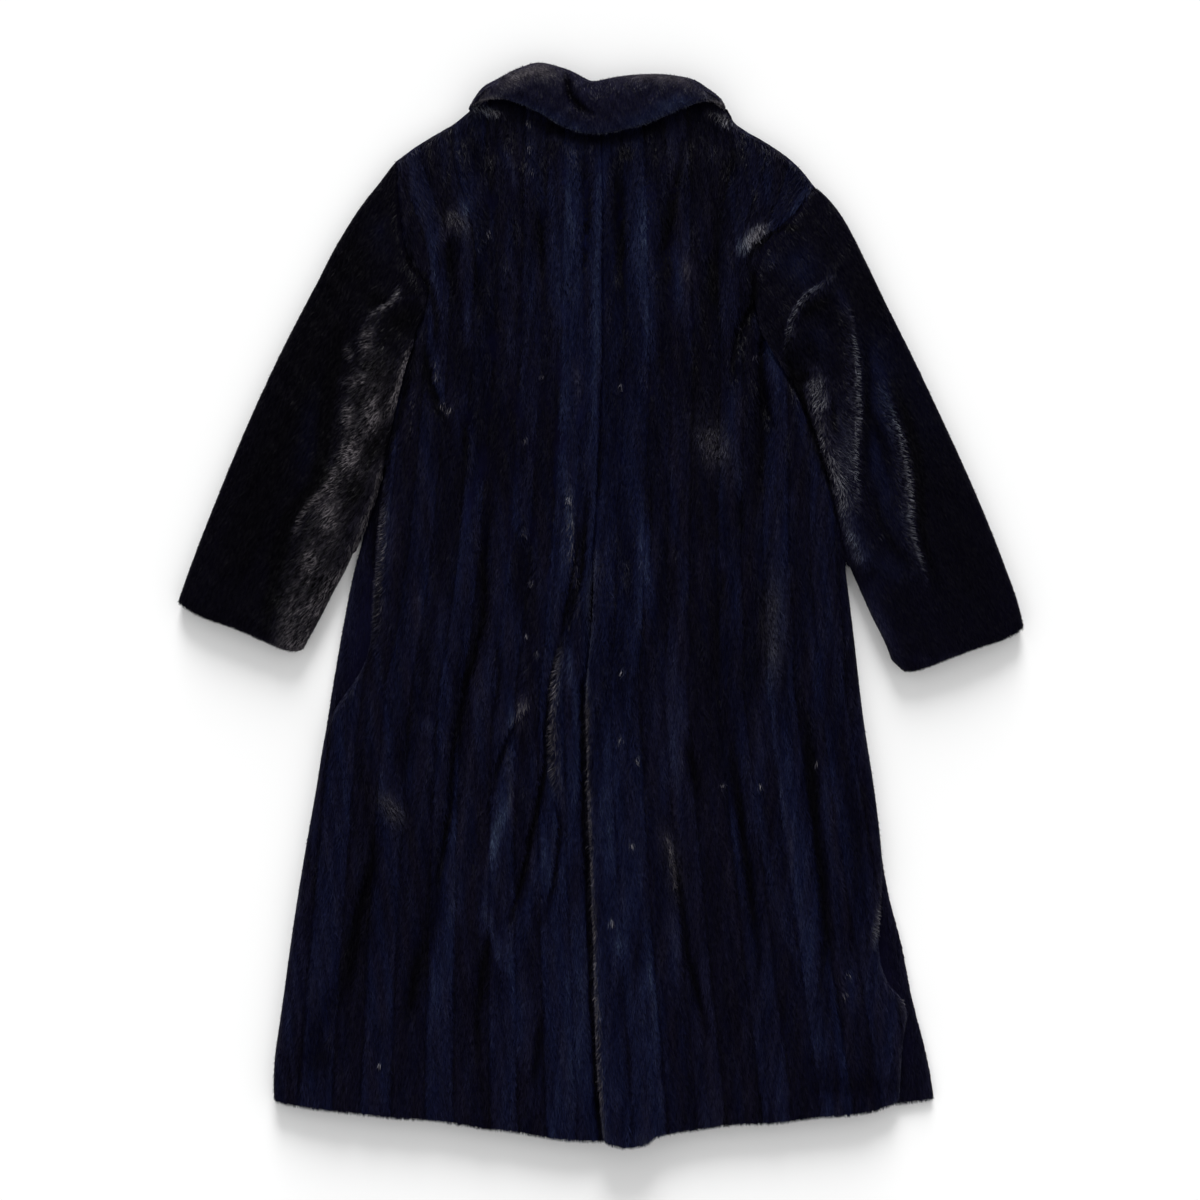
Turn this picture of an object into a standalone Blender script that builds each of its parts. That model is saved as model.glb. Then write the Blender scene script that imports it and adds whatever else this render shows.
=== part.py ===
"""A long fur coat that lies face down on a flat surface, its back up and its sleeves at its sides.

Every piece is a wall of skin with the pile that lies on it. The fronts rest on the surface, the
back lies on them, and the collar folds over the back's neck. Plan sizes and heights are in
millimetres: x to the right, y towards the collar, z up. The mesh itself is in metres.
"""

import bpy
import bmesh
import numpy as np

METRE = 0.001  # one millimetre in metres
WALL = 9.0  # skin and lying pile, which is the whole wall of each piece
SEAM = 0.3  # between pieces that are sewn edge to edge or lie on each other
SIDE_GAP = 2.5  # between the body's side and the sleeve that lies along it
ROUND = 6.0  # how far a free edge's pile rounds over
ROUND_STEP = 0.35  # of that reach, where the rounding has a line of points of its own
EDGE_SHARE = 0.3  # of the wall that is left at a free edge
EDGE_TURN = 0.35  # of a wall, by which the edge of one that lies free turns up and down
FOLD_EDGE = 2.0  # height of the edge where a flattened sleeve folds over
SEAM_DIP = 0.15  # of a free edge's rounding, where pieces are sewn edge to edge
LOFT = 4.0  # how much the pile and its soft folds raise the middle of the back
LOFT_REACH = 70.0  # from the side's edge to where it is fully raised
MOST_AIR = 3.0  # under a fold
AIR_SHARE = 0.6  # of a fold's height that is air under it

BACK_BASE = WALL + SEAM  # the back's underside
BACK_TOP = BACK_BASE + WALL
SLEEVE_MIDDLE = WALL + SEAM  # the height of a sleeve's folded edges

VENT_TOP = -43.0  # y where the back seam ends and the vent's flap begins
UNDERLAP = 36.0  # how far the left back runs on below the flap
FLAP_RISE = WALL + 2.0 * SEAM  # of the right back over the underlap
FLAP_FLAT = 43.0  # from the flap's edge to where it starts to sink
FLAP_SLOPE = 47.0  # from there to where it lies on the left back's level
FLAP_SHADOW = 14.0  # from the flap's edge to where the left back's folds are whole again
FLAP_SHADOW_ENDS = 20.0  # the same along the seam, above the flap
FLAP_STARTS = (89.0, 5.0)  # y where the seam starts to rise, and where it is fully raised

SIDE_SPACING = 38.0  # between the back's rows along the side, and the front's rows are wider apart
FRONT_SPACING = 60.0
ARMHOLE_SPANS = 10
SLEEVE_SPANS = 19
BACK_SPANS = 20
THROAT_SPANS = 6
COLLAR_SPANS = 32
BEND = 0.35  # of a panel's length, over which the bow of its hem or its neckline dies out
FRONT_BEND = 0.15

CALM_Y = 556.0  # the back is smooth above this, where the collar lies on it
CALM_REACH = 18.0

# The coat's sides from hem to underarm: y, then x of the front and of the back that lies on it.
LEFT_SIDE = (
    (-595, -394, -394),
    (-547, -394, -394),
    (-499, -386, -386),
    (-403, -373, -373),
    (-307, -358, -358),
    (-211, -341, -341),
    (-163, -334, -334),
    (-130, -329, -326),
    (-106, -325, -307),
    (-79, -322, -286),
    (-43, -314, -276),
    (1, -306, -274),
    (44, -301, -271),
    (95, -281, -267),
    (127, -269, -263),
    (185, -256, -256),
    (252, -242, -242),
    (308, -228, -228),
)
RIGHT_SIDE = (
    (-595, 401, 359),
    (-571, 401, 360),
    (-547, 396, 362),
    (-523, 389, 364),
    (-499, 380, 366),
    (-485, 374, 370),
    (-476, 372, 370),
    (-468, 373, 352),
    (-451, 373, 340),
    (-427, 370, 335),
    (-397, 360, 332),
    (-367, 350, 333),
    (-329, 341, 340),
    (-235, 331, 331),
    (-139, 316, 316),
    (-43, 305, 305),
    (53, 293, 293),
    (89, 287, 287),
    (127, 278, 278),
    (186, 263, 263),
    (222, 250, 250),
    (255, 236, 236),
    (277, 222, 222),
    (298, 209, 209),
)

# Curves of the cut, as (x, y). Hems run from left to right, armholes from underarm to shoulder.
HEM_LEFT = (
    (-394, -595), (-382, -601), (-343, -607), (-295, -612), (-247, -618), (-199, -620),
    (-151, -629), (-103, -634), (-55, -643), (-7, -646), (33, -644),
)
HEM_RIGHT = (
    (2, -642), (11, -650), (41, -652), (59, -649), (68, -638), (113, -632), (161, -625),
    (209, -624), (257, -617), (305, -614), (341, -606), (359, -595),
)
HEM_FRONT_LEFT = ((-394, -595), (-382, -600), (-343, -605), (-247, -613), (-55, -634), (0, -636))
HEM_FRONT_RIGHT = (
    (0, -636), (68, -631), (161, -619), (257, -612), (353, -603), (382, -603), (401, -595),
)
ARMHOLE_LEFT = (
    (-228, 308), (-221, 331), (-210, 355), (-207, 377), (-217, 396), (-230, 412),
    (-238, 437), (-242, 473), (-246, 533),
)
ARMHOLE_RIGHT = (
    (209, 298), (196, 320), (186, 348), (182, 377), (184, 408), (199, 437), (221, 459),
    (241, 480), (257, 502),
)
SHOULDER_LEFT = ((-246, 533), (-215, 556), (-186, 572), (-160, 590))
SHOULDER_RIGHT = ((257, 502), (232, 532), (198, 556), (166, 574), (151, 590))
NECK = (
    (-160, 590), (-152, 598), (-133, 606), (-97, 604), (-50, 592), (0, 584), (48, 591),
    (92, 602), (126, 606), (143, 598), (151, 590),
)
BACK_SEAM = ((0, 584), (2, 485), (2, 293), (-1, 221), (-7, 89), (-13, -43))
VENT_EDGE = (
    (-13, -43), (-19, -94), (-17, -167), (-16, -240), (-13, -301), (-11, -362), (-8, -443),
    (-7, -504), (-5, -552), (-1, -601), (2, -642),
)
SLEEVE_OUTER_LEFT = (
    (-246, 533), (-265, 509), (-286, 485), (-301, 461), (-317, 437), (-341, 389), (-379, 317),
    (-424, 221), (-464, 125), (-492, 53), (-510, 2),
)
SLEEVE_FREE_LEFT = ((-304, 44), (-320, 17), (-338, -19), (-352, -43), (-358, -55))
CUFF_LEFT = ((-510, 2), (-486, -13), (-438, -30), (-402, -46), (-371, -59), (-358, -55))
SLEEVE_OUTER_RIGHT = (
    (257, 502), (278, 485), (295, 461), (319, 413), (342, 365), (378, 293), (412, 221),
    (445, 149), (475, 77), (493, 29), (506, -7), (509, -29),
)
SLEEVE_FREE_RIGHT = ((297, 47), (307, 26), (317, 3), (328, -21), (341, -45), (349, -67))
CUFF_RIGHT = ((509, -29), (491, -40), (455, -52), (419, -65), (389, -77), (365, -82), (349, -67))
SIDE_MEETS_SLEEVE = 60.0  # y below which the sleeves hang free of the coat's sides

# The collar at the back, from its left end to its right end.
COLLAR_ROLL = (
    (-159, 596), (-156, 603), (-150, 612), (-143, 622), (-126, 631), (-108, 641), (-85, 650),
    (-72, 652), (-59, 649), (-34, 641), (-17, 631), (-8, 628), (2, 631), (29, 636), (65, 638),
    (89, 636), (113, 631), (126, 622), (140, 612), (148, 603), (150, 596),
)
COLLAR_FALL = (
    (-142, 604), (-120, 606), (-95, 598), (-71, 587), (-47, 572), (-22, 564), (2, 563),
    (28, 568), (52, 574), (76, 584), (101, 595), (120, 602), (134, 604),
)
STAND_ENDS = (0.035, 0.965)  # of the neck seam, between which the collar's stand is sewn on
FALL_PUFF = 3.0  # how much the fall's pile stands up in its middle
PUFF_ENDS = 0.15  # of the collar's length, over which that dies out
ROLL_TURN = 8.0  # how far below the roll the stand turns up into the fall
COLLAR_FRONT_COLUMNS = (0.3, 0.5, 0.7)
# The collar in front, which lies flat below the back's neck.
THROAT_OUTER_LEFT = ((-158, 589), (-155, 545), (-131, 485), (-79, 433), (0, 401))
THROAT_INNER_LEFT = ((-125, 624), (-113, 569), (-73, 523), (0, 499))
THROAT_OUTER_RIGHT = ((149, 589), (148, 545), (126, 485), (77, 433), (0, 401))
THROAT_INNER_RIGHT = ((118, 622), (107, 569), (70, 523), (0, 499))

# Folds: the height at the middle (a trough is negative), half the width, and the line in plan.
BACK_FOLDS = (
    (-6.0, 8, ((-48, -44), (-56, -94), (-61, -167), (-65, -216), (-74, -252), (-90, -296),
               (-108, -343), (-126, -377), (-140, -418))),
    (4.0, 13, ((-32, -40), (-38, -94), (-43, -167), (-48, -230))),
    (-5.0, 8, ((-56, -240), (-52, -264), (-53, -301), (-62, -343), (-72, -386))),
    (3.5, 16, ((-154, -100), (-175, -187), (-194, -288), (-200, -360))),
    (-3.5, 14, ((-190, -80), (-214, -190), (-232, -300))),
    (4.0, 20, ((-235, 150), (-250, 0), (-262, -150))),
    (-4.0, 14, ((181, 365), (174, 341), (160, 298), (152, 251), (148, 200))),
    (4.0, 16, ((182, 270), (160, 215), (128, 150), (120, 110))),
    (-6.0, 9, ((198, 330), (193, 288), (192, 250), (196, 215), (190, 118))),
    (4.5, 16, ((214, 120), (209, 77), (205, 5), (210, -103))),
    (-3.5, 14, ((240, 60), (236, -30), (246, -140))),
    (5.0, 13, ((74, -264), (86, -301), (92, -350), (92, -394), (100, -455))),
    (-5.0, 12, ((100, -307), (111, -394), (121, -479), (126, -528))),
    (4.5, 20, ((190, -150), (212, -295), (233, -391), (258, -490), (262, -560))),
    (-4.0, 18, ((168, -260), (186, -380), (206, -500))),
    (-3.5, 18, ((270, -300), (290, -400), (312, -480))),
    (3.0, 26, ((-95, -430), (-90, -520), (-88, -600))),
    (-3.0, 22, ((-255, -380), (-270, -470), (-285, -560))),
    (3.0, 26, ((-320, -300), (-335, -420), (-345, -540))),
)
SLEEVE_FOLDS_LEFT = (
    (-4.5, 10, ((-308, 335), (-312, 276), (-323, 227), (-325, 149), (-346, 126), (-362, 102),
                (-374, 74), (-382, 50), (-384, 17), (-386, -18), (-390, -40))),
    (4.5, 11, ((-236, 392), (-245, 365), (-275, 349), (-295, 337))),
    (-7.0, 17, ((-236, 352), (-230, 346))),
    (4.0, 15, ((-255, 330), (-272, 270), (-292, 190), (-300, 120))),
    (-3.0, 18, ((-258, 480), (-300, 420), (-345, 340))),
)
SLEEVE_FOLDS_RIGHT = (
    (5.5, 10, ((286, 375), (299, 325), (305, 288), (307, 252), (306, 203), (308, 166), (313, 127))),
    (5.0, 10, ((335, 285), (353, 227), (362, 191), (367, 154), (367, 103), (380, 61), (388, 25))),
    (5.0, 11, ((285, 400), (275, 391), (247, 372), (230, 347), (226, 313))),
    (-7.0, 13, ((250, 290), (252, 262))),
    (-4.5, 10, ((275, 350), (283, 290), (286, 240))),
    (-4.5, 12, ((325, 300), (332, 230), (338, 160), (338, 110))),
    (-3.0, 18, ((330, 380), (372, 290), (400, 220))),
)

BACK_COLUMNS = np.linspace(0.0, 1.0, BACK_SPANS + 1)[1:-1]

NIGHT_FUR = (0.008, 0.011, 0.019, 1.0)
GREYED_FUR = (0.012, 0.014, 0.021, 1.0)


# --- plan curves -------------------------------------------------------------------------------


def smooth(points, steps=8):
    """A curve through the points, as many short lines."""
    p = np.array(points, float)
    p = np.vstack([2 * p[0] - p[1], p, 2 * p[-1] - p[-2]])
    t = np.linspace(0, 1, steps, endpoint=False)[:, None]
    spans = [
        0.5 * (2 * b + (c - a) * t + (2 * a - 5 * b + 4 * c - d) * t**2
               + (3 * b - a - 3 * c + d) * t**3)
        for a, b, c, d in zip(p, p[1:], p[2:], p[3:])
    ]
    return np.vstack([*spans, p[-2:-1]])


def run(curve):
    """The length of the curve up to each of its points."""
    return np.concatenate([[0.0], np.cumsum(np.linalg.norm(np.diff(curve, axis=0), axis=1))])


def at(curve, shares):
    """Points at these shares of the curve's length."""
    s = run(curve)
    return np.stack([np.interp(np.asarray(shares) * s[-1], s, c) for c in curve.T], axis=1)


def moved(curve, distance):
    """The curve moved to its left by the distance."""
    way = np.gradient(curve, axis=0)
    way /= np.linalg.norm(way, axis=1, keepdims=True)
    return curve + distance * np.stack([-way[:, 1], way[:, 0]], axis=1)


def ease(x):
    """From 0 to 1 with a soft start and end."""
    x = np.clip(x, 0.0, 1.0)
    return x * x * (3.0 - 2.0 * x)


def evenly(length, spans):
    """Shares of a stretch: even ones, and two close to each end, where a free edge rounds over."""
    rim = np.array([0.0, ROUND_STEP, 1.0]) * ROUND / length
    middle = np.linspace(rim[-1], 1.0 - rim[-1], spans + 1)[1:-1]
    return np.concatenate([rim, middle, 1.0 - rim[::-1]])


def with_rims(shares):
    """A rule for a row's columns: these shares, and two columns close to each end."""
    return lambda width: np.concatenate(
        [[0.0], np.array([ROUND_STEP, 1.0]) * ROUND / width, shares,
         1.0 - np.array([1.0, ROUND_STEP]) * ROUND / width, [1.0]]
    )


def folds(points, rows):
    """The height that the folds in the rows add at each point."""
    height = np.zeros(points.shape[:-1])
    for rise, half_width, line in rows:
        line = smooth(line, 4)
        s = run(line)
        nearest = np.full(height.shape, 1e9)
        share = np.zeros(height.shape)
        for a, b, start, stop in zip(line, line[1:], s, s[1:]):
            way = b - a
            t = np.clip(((points - a) @ way) / (way @ way), 0.0, 1.0)
            off = np.linalg.norm(points - a - t[..., None] * way, axis=-1)
            share = np.where(off < nearest, (start + t * (stop - start)) / s[-1], share)
            nearest = np.minimum(off, nearest)
        fade = ease(share / 0.2 + 0.35) * ease((1.0 - share) / 0.25 + 0.25)
        height += rise * np.exp(-((nearest / half_width) ** 2)) * fade
    return height


# --- surfaces ----------------------------------------------------------------------------------


def patch(left, right, foot, head, rows, columns, bend=BEND):
    """The plan of a panel, row by row from its foot to its head, with its four edges kept.

    left and right hold a point for each row, foot and head are curves from left to right, and
    the bow of each dies out over bend of the panel's length. columns holds a rule for each row,
    which gives the columns' shares of a width.
    """
    grid = []
    for a, b, v, rule in zip(left, right, rows, columns):
        u = rule(np.linalg.norm(b - a))
        row = a + u[:, None] * (b - a)
        for curve, fade in ((foot, ease(1.0 - v / bend)), (head, ease(1.0 - (1.0 - v) / bend))):
            bow = at(curve, u) - (curve[0] + u[:, None] * (curve[-1] - curve[0]))
            row = row + fade * bow
        grid.append(row)
    return np.array(grid)


def rounding(grid, left=1.0, right=1.0, foot=1.0, head=1.0):
    """The share of a wall's height that is left after its edges round over.

    Each edge has 1 where it is free and less where it is sewn on. left and right may hold a
    number for each row, foot and head one for each column.
    """
    edges = (
        (grid[:, :1], np.asarray(left, float).reshape(-1, 1)),
        (grid[:, -1:], np.asarray(right, float).reshape(-1, 1)),
        (grid[:1], np.asarray(foot, float).reshape(1, -1)),
        (grid[-1:], np.asarray(head, float).reshape(1, -1)),
    )
    kept = np.ones(grid.shape[:2])
    for edge, free in edges:
        off = np.clip(np.linalg.norm(grid - edge, axis=-1) / ROUND, 0.0, 1.0)
        kept = np.minimum(kept, 1.0 - free * (1.0 - np.sqrt(1.0 - (1.0 - off) ** 2)))
    return kept


def raised(grid, height):
    """Plan points with their heights."""
    return np.dstack([grid, np.broadcast_to(height, grid.shape[:2])])


def band(mesh, first, second):
    """Triangles between two lines of points, which may differ in number."""
    i = j = 0
    while i + 1 < len(first) or j + 1 < len(second):
        step_first = step_second = float("inf")
        if i + 1 < len(first):
            step_first = (first[i + 1].co - second[j].co).length
        if j + 1 < len(second):
            step_second = (first[i].co - second[j + 1].co).length
        if step_first <= step_second:
            mesh.faces.new((first[i], first[i + 1], second[j]))
            i += 1
        else:
            mesh.faces.new((first[i], second[j + 1], second[j]))
            j += 1


def sheet(mesh, points):
    """The vertices of a grid of points, with a face in each of its squares."""
    verts = [[mesh.verts.new(p * METRE) for p in row] for row in points]
    for low, high in zip(verts, verts[1:]):
        for a, b, c, d in zip(low, low[1:], high[1:], high):
            mesh.faces.new((a, b, c, d))
    return verts


def sides(verts):
    """The grid's left and right columns."""
    return [row[0] for row in verts], [row[-1] for row in verts]


def finish(name, mesh, material, collection, parent):
    """Makes the object of a closed mesh."""
    bmesh.ops.recalc_face_normals(mesh, faces=mesh.faces)
    data = bpy.data.meshes.new(name)
    mesh.to_mesh(data)
    mesh.free()
    data.materials.append(material)
    data.shade_smooth()
    piece = bpy.data.objects.new(name, data)
    piece.parent = parent
    collection.objects.link(piece)
    return piece


def wall_mesh(top, bottom):
    """A closed wall between a top and an underside with the same outline."""
    mesh = bmesh.new()
    upper, lower = sheet(mesh, top), sheet(mesh, bottom)
    for a, b in zip(sides(upper), sides(lower)):
        band(mesh, a, b)
    for end in (0, -1):
        band(mesh, upper[end], lower[end])
    return mesh


def tube_mesh(outer_top, outer_bottom, inner_top, inner_bottom):
    """A flattened tube: an outer and an inner ring of surfaces, joined at the two open ends."""
    mesh = bmesh.new()
    over, under = sheet(mesh, outer_top), sheet(mesh, outer_bottom)
    inner_over, inner_under = sheet(mesh, inner_top), sheet(mesh, inner_bottom)
    for a, b in ((over, under), (inner_over, inner_under)):
        for one, other in zip(sides(a), sides(b)):
            band(mesh, one, other)
    for end in (0, -1):
        band(mesh, over[end], inner_over[end])
        band(mesh, under[end], inner_under[end])
        for column in (0, -1):
            corners = (over[end][column], inner_over[end][column],
                       inner_under[end][column], under[end][column])
            mesh.faces.new(corners)
    return mesh


# --- pieces ------------------------------------------------------------------------------------


def side_curve(table, column):
    """A side from hem to underarm."""
    return smooth([(row[column], row[0]) for row in table])


def edge_rows(side, armhole, spacing, shoulder=None):
    """A panel's outer edge from its hem: points, shares of its length, and how free each one is."""
    along = evenly(run(side)[-1], round(run(side)[-1] / spacing))[:-3]
    sewn = armhole_join(armhole)
    points = [at(side, along), sewn]
    free = [np.ones(len(along) + 2), np.full(len(sewn) - 2, SEAM_DIP)]
    if shoulder is None:
        free[-1][-2:] = 1.0
    else:
        over = evenly(run(shoulder)[-1], 3)[2:]
        points.append(at(shoulder, over))
        free.append(np.ones(len(over)))
    points = np.vstack(points)
    return points, run(points) / run(points)[-1], np.concatenate(free)


def vent_x(y):
    """x of the flap's edge."""
    line = np.array(VENT_EDGE, float)[::-1]
    return np.interp(y, line[:, 1], line[:, 0])


def back_relief(grid, edge_column):
    """How much the back rises over its flat state: loft, and folds."""
    y = grid[..., 1]
    off = np.abs(grid[..., 0] - grid[:, edge_column, None, 0])
    loft = LOFT * ease(off / LOFT_REACH)
    calm = ease((CALM_Y - y) / CALM_REACH)
    return (loft + folds(grid, BACK_FOLDS)) * calm


def back(grid, relief, kept, rise=0.0):
    """A back panel's mesh. Part of each fold's height is air under it."""
    air = np.clip(AIR_SHARE * relief, 0.0, MOST_AIR)
    floor = BACK_BASE + rise + air
    height = (WALL + relief - air) * (EDGE_SHARE + (1.0 - EDGE_SHARE) * kept)
    return wall_mesh(raised(grid, floor + height), raised(grid[:, ::2], floor[:, ::2]))


def back_left():
    left, rows, free = edge_rows(side_curve(LEFT_SIDE, 2), ARMHOLE_LEFT, SIDE_SPACING)
    low_edge = [(x + UNDERLAP, y) for x, y in VENT_EDGE[1:]]
    low_edge[-1] = HEM_LEFT[-1]
    centre = np.vstack([smooth(low_edge[::-1]), smooth(BACK_SEAM[::-1])])
    neck = smooth(NECK)
    head = np.vstack([smooth(SHOULDER_LEFT), neck[neck[:, 0] <= 0][1:]])
    grid = patch(left, at(centre, rows), smooth(HEM_LEFT), head, rows,
                 [with_rims(BACK_COLUMNS)] * len(rows))
    kept = rounding(
        grid,
        left=free,
        right=np.where(grid[:, -1, 1] < VENT_TOP, 1.0, SEAM_DIP),
        head=np.where(grid[-1, :, 0] < NECK[0][0] + 1, 1.0, SEAM_DIP),
    )
    below_flap = ease((grid[..., 0] - vent_x(grid[..., 1])) / FLAP_SHADOW + 1.0)
    below_flap *= ease((FLAP_STARTS[1] - grid[..., 1]) / FLAP_SHADOW_ENDS)
    return back(grid, back_relief(grid, 0) * (1.0 - below_flap), kept)


def back_right():
    right, rows, free = edge_rows(side_curve(RIGHT_SIDE, 2), ARMHOLE_RIGHT, SIDE_SPACING)
    centre = smooth([(x + SEAM, y) for x, y in (*VENT_EDGE[:0:-1], *BACK_SEAM[::-1])])
    foot = smooth([centre[0], *HEM_RIGHT[1:]])
    neck = smooth(NECK)
    head = np.vstack([centre[-1:], neck[neck[:, 0] > 0], smooth(SHOULDER_RIGHT[::-1])[1:]])
    grid = patch(at(centre, rows), right, foot, head, rows,
                 [with_rims(BACK_COLUMNS)] * len(rows))
    kept = rounding(
        grid,
        left=np.where(grid[:, 0, 1] < VENT_TOP, 1.0, SEAM_DIP),
        right=free,
        head=np.where(grid[-1, :, 0] > NECK[-1][0] - 1, 1.0, SEAM_DIP),
    )
    start, full = FLAP_STARTS
    off = grid[..., 0] - grid[:, :1, 0]
    rise = FLAP_RISE * ease((start - grid[..., 1]) / (start - full))
    rise = rise * (1.0 - ease((off - FLAP_FLAT) / FLAP_SLOPE))
    return back(grid, back_relief(grid, -1), kept, rise)


def throat_join(outer):
    """The points where a front is sewn to the collar, from the neck's side to the centre."""
    return at(smooth(outer), np.linspace(0, 1, THROAT_SPANS + 1))


def armhole_join(armhole):
    """The points where a sleeve is sewn to the front and the back, from underarm to shoulder."""
    curve = smooth(armhole)
    return at(curve, evenly(run(curve)[-1], ARMHOLE_SPANS))


def front(table, armhole, shoulder, hem, outer):
    """A front, from its side to the coat's centre line. It rests on the surface."""
    edge, rows, free = edge_rows(
        side_curve(table, 1), armhole, FRONT_SPACING, smooth([*shoulder[:-1], outer[0]])
    )
    head = throat_join(outer)
    foot = smooth(hem)
    head[-1, 0] = foot[-1, 0] = np.sign(edge[0, 0]) * SEAM / 2.0
    centre = at(np.array([foot[-1], head[-1]]), rows)
    columns = [with_rims(run(head)[1:-1] / run(head)[-1])] * len(rows)
    grid = patch(edge, centre, foot, head, rows, columns, FRONT_BEND)
    return flat_wall(grid, rounding(grid, left=free, right=SEAM_DIP, head=SEAM_DIP))


def flat_wall(grid, kept):
    """A wall that lies on the surface, with its edges rounded above and below."""
    turn = WALL * EDGE_TURN * (1.0 - kept)
    return wall_mesh(raised(grid, WALL - turn), raised(grid, turn))


def sleeve(outer_edge, side_table, free_edge, armhole, cuff, fold_rows):
    """A flattened sleeve. Its rows run from the armhole to the cuff."""
    sign = np.sign(outer_edge[0][0])
    armhole = moved(armhole_join(armhole), -sign * 1.5 * SEAM)[::-1]
    along_side = moved(side_curve(side_table, 1), -sign * SIDE_GAP)[::-1]
    along_side = along_side[(run(along_side) > ROUND) & (along_side[:, 1] > SIDE_MEETS_SLEEVE)]
    outer = smooth([armhole[0], *outer_edge[1:]])
    inner = np.vstack([armhole[-1:], along_side, smooth(free_edge)])
    rows = np.delete(evenly(run(outer)[-1], SLEEVE_SPANS), [1, 2])
    sewn = run(armhole) / run(armhole)[-1]

    def columns(share):
        """At the armhole the sewn points, and below it the ones that suit the row's width."""
        return lambda width: sewn + ease(share / BEND) * (evenly(width, ARMHOLE_SPANS) - sewn)

    grid = patch(at(outer, rows), at(inner, rows), armhole, smooth(cuff), rows,
                 [columns(share) for share in rows])
    off = np.minimum(np.linalg.norm(grid - grid[:, :1], axis=-1),
                     np.linalg.norm(grid - grid[:, -1:], axis=-1))
    relief = (LOFT * ease(off / LOFT_REACH) + folds(grid, fold_rows)) * ease(off / (2.0 * ROUND))
    at_sides = rounding(grid, foot=0.0, head=0.0)
    at_cuff = rounding(grid, left=0.0, right=0.0, foot=0.0)
    air = np.clip(AIR_SHARE * relief, 0.0, MOST_AIR) * at_cuff
    inner_top = WALL + 2.0 * SEAM + air
    wall = (WALL + relief - air) * (EDGE_SHARE + (1.0 - EDGE_SHARE) * at_cuff)
    fold_top, fold_bottom = SLEEVE_MIDDLE + FOLD_EDGE / 2.0, SLEEVE_MIDDLE - FOLD_EDGE / 2.0
    top = fold_top + (inner_top + wall - fold_top) * at_sides
    bottom = fold_bottom * (1.0 - at_sides) + EDGE_TURN * WALL * (1.0 - at_cuff) * at_sides
    within = slice(3, -3)  # the columns that the hollow spans
    return tube_mesh(
        raised(grid, top),
        raised(grid, bottom),
        raised(grid, inner_top)[:, within],
        raised(grid, WALL)[:, within],
    )


def collar():
    """The collar at the back: a stand on the neck seam, a roll, and a fall over the back."""
    stations = np.linspace(0.0, 1.0, COLLAR_SPANS + 1)
    roll, fall = at(smooth(COLLAR_ROLL), stations), at(smooth(COLLAR_FALL), stations)
    start, stop = STAND_ENDS
    neck = at(moved(smooth(NECK), 2.0 * SEAM), start + stations * (stop - start))
    fall_base = BACK_TOP + 3.0 * SEAM
    fall_top = fall_base + WALL
    mesh = bmesh.new()
    rings = []
    for r, f, n, share in zip(roll, fall, neck, stations):
        puff = FALL_PUFF * ease(min(share, 1.0 - share) / PUFF_ENDS)
        deep = np.linalg.norm(r - f)
        rim = min(ROUND, 0.4 * deep) / deep
        stand = np.linalg.norm(r - n)
        turn = min(ROLL_TURN, 0.5 * stand) / stand
        section = (
            # from where, what share of the way to the roll, and height
            (f, 0.5 * rim, fall_base),
            (f, 0.0, fall_base + 0.35 * WALL),
            (f, 0.3 * rim, fall_base + 0.75 * WALL),
            (f, rim, fall_top),
            (f, 0.35, fall_top + 0.8 * puff),
            (f, 0.6, fall_top + puff),
            (f, 0.8, fall_top + 0.6 * puff),
            (f, 1.0 - rim, fall_top - 0.12 * WALL),
            (f, 1.0 - 0.3 * rim, fall_top - 0.5 * WALL),
            (f, 1.0, BACK_TOP),
            (n, 1.0 - 0.15 * turn, BACK_BASE + 0.4 * WALL),
            (n, 1.0 - 0.6 * turn, BACK_BASE),
            (n, 0.0, BACK_BASE),
            (n, 0.0, BACK_TOP),
            (n, 1.0 - turn, BACK_TOP),
            (n, 1.0 - turn, fall_base),
        )
        ring = [np.append(start + part * (r - start), z) for start, part, z in section]
        rings.append([mesh.verts.new(p * METRE) for p in ring])
    for one, other in zip(rings, rings[1:]):
        for a, b, c, d in zip(one, one[1:] + one[:1], other[1:] + other[:1], other):
            mesh.faces.new((a, b, c, d))
    mesh.faces.new(rings[0])
    mesh.faces.new(rings[-1])
    return mesh


def collar_front(outer, inner):
    """Half of the collar in front, from below the collar's end to the throat."""
    out = throat_join(outer)
    rows = np.linspace(0, 1, len(out))
    into = at(smooth(inner), rows)
    sign = np.sign(outer[0][0])
    out[-1, 0] = into[-1, 0] = sign * SEAM / 2.0
    columns = [with_rims(COLLAR_FRONT_COLUMNS)] * len(rows)
    foot, head = np.array([out[0], into[0]]), np.array([out[-1], into[-1]])
    grid = patch(out, into, foot, head, rows, columns)
    step = grid[:, 1] - grid[:, 0]
    grid[:, 0] += SEAM * step / np.linalg.norm(step, axis=-1, keepdims=True)
    return flat_wall(grid, rounding(grid, left=SEAM_DIP, foot=0.0, head=SEAM_DIP))


def fur(name, colour):
    """A dyed fur's plain material."""
    material = bpy.data.materials.new(name)
    material.use_nodes = True
    shader = material.node_tree.nodes["Principled BSDF"]
    shader.inputs["Base Color"].default_value = colour
    shader.inputs["Roughness"].default_value = 0.55
    shader.inputs["Metallic"].default_value = 0.0
    return material


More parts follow.
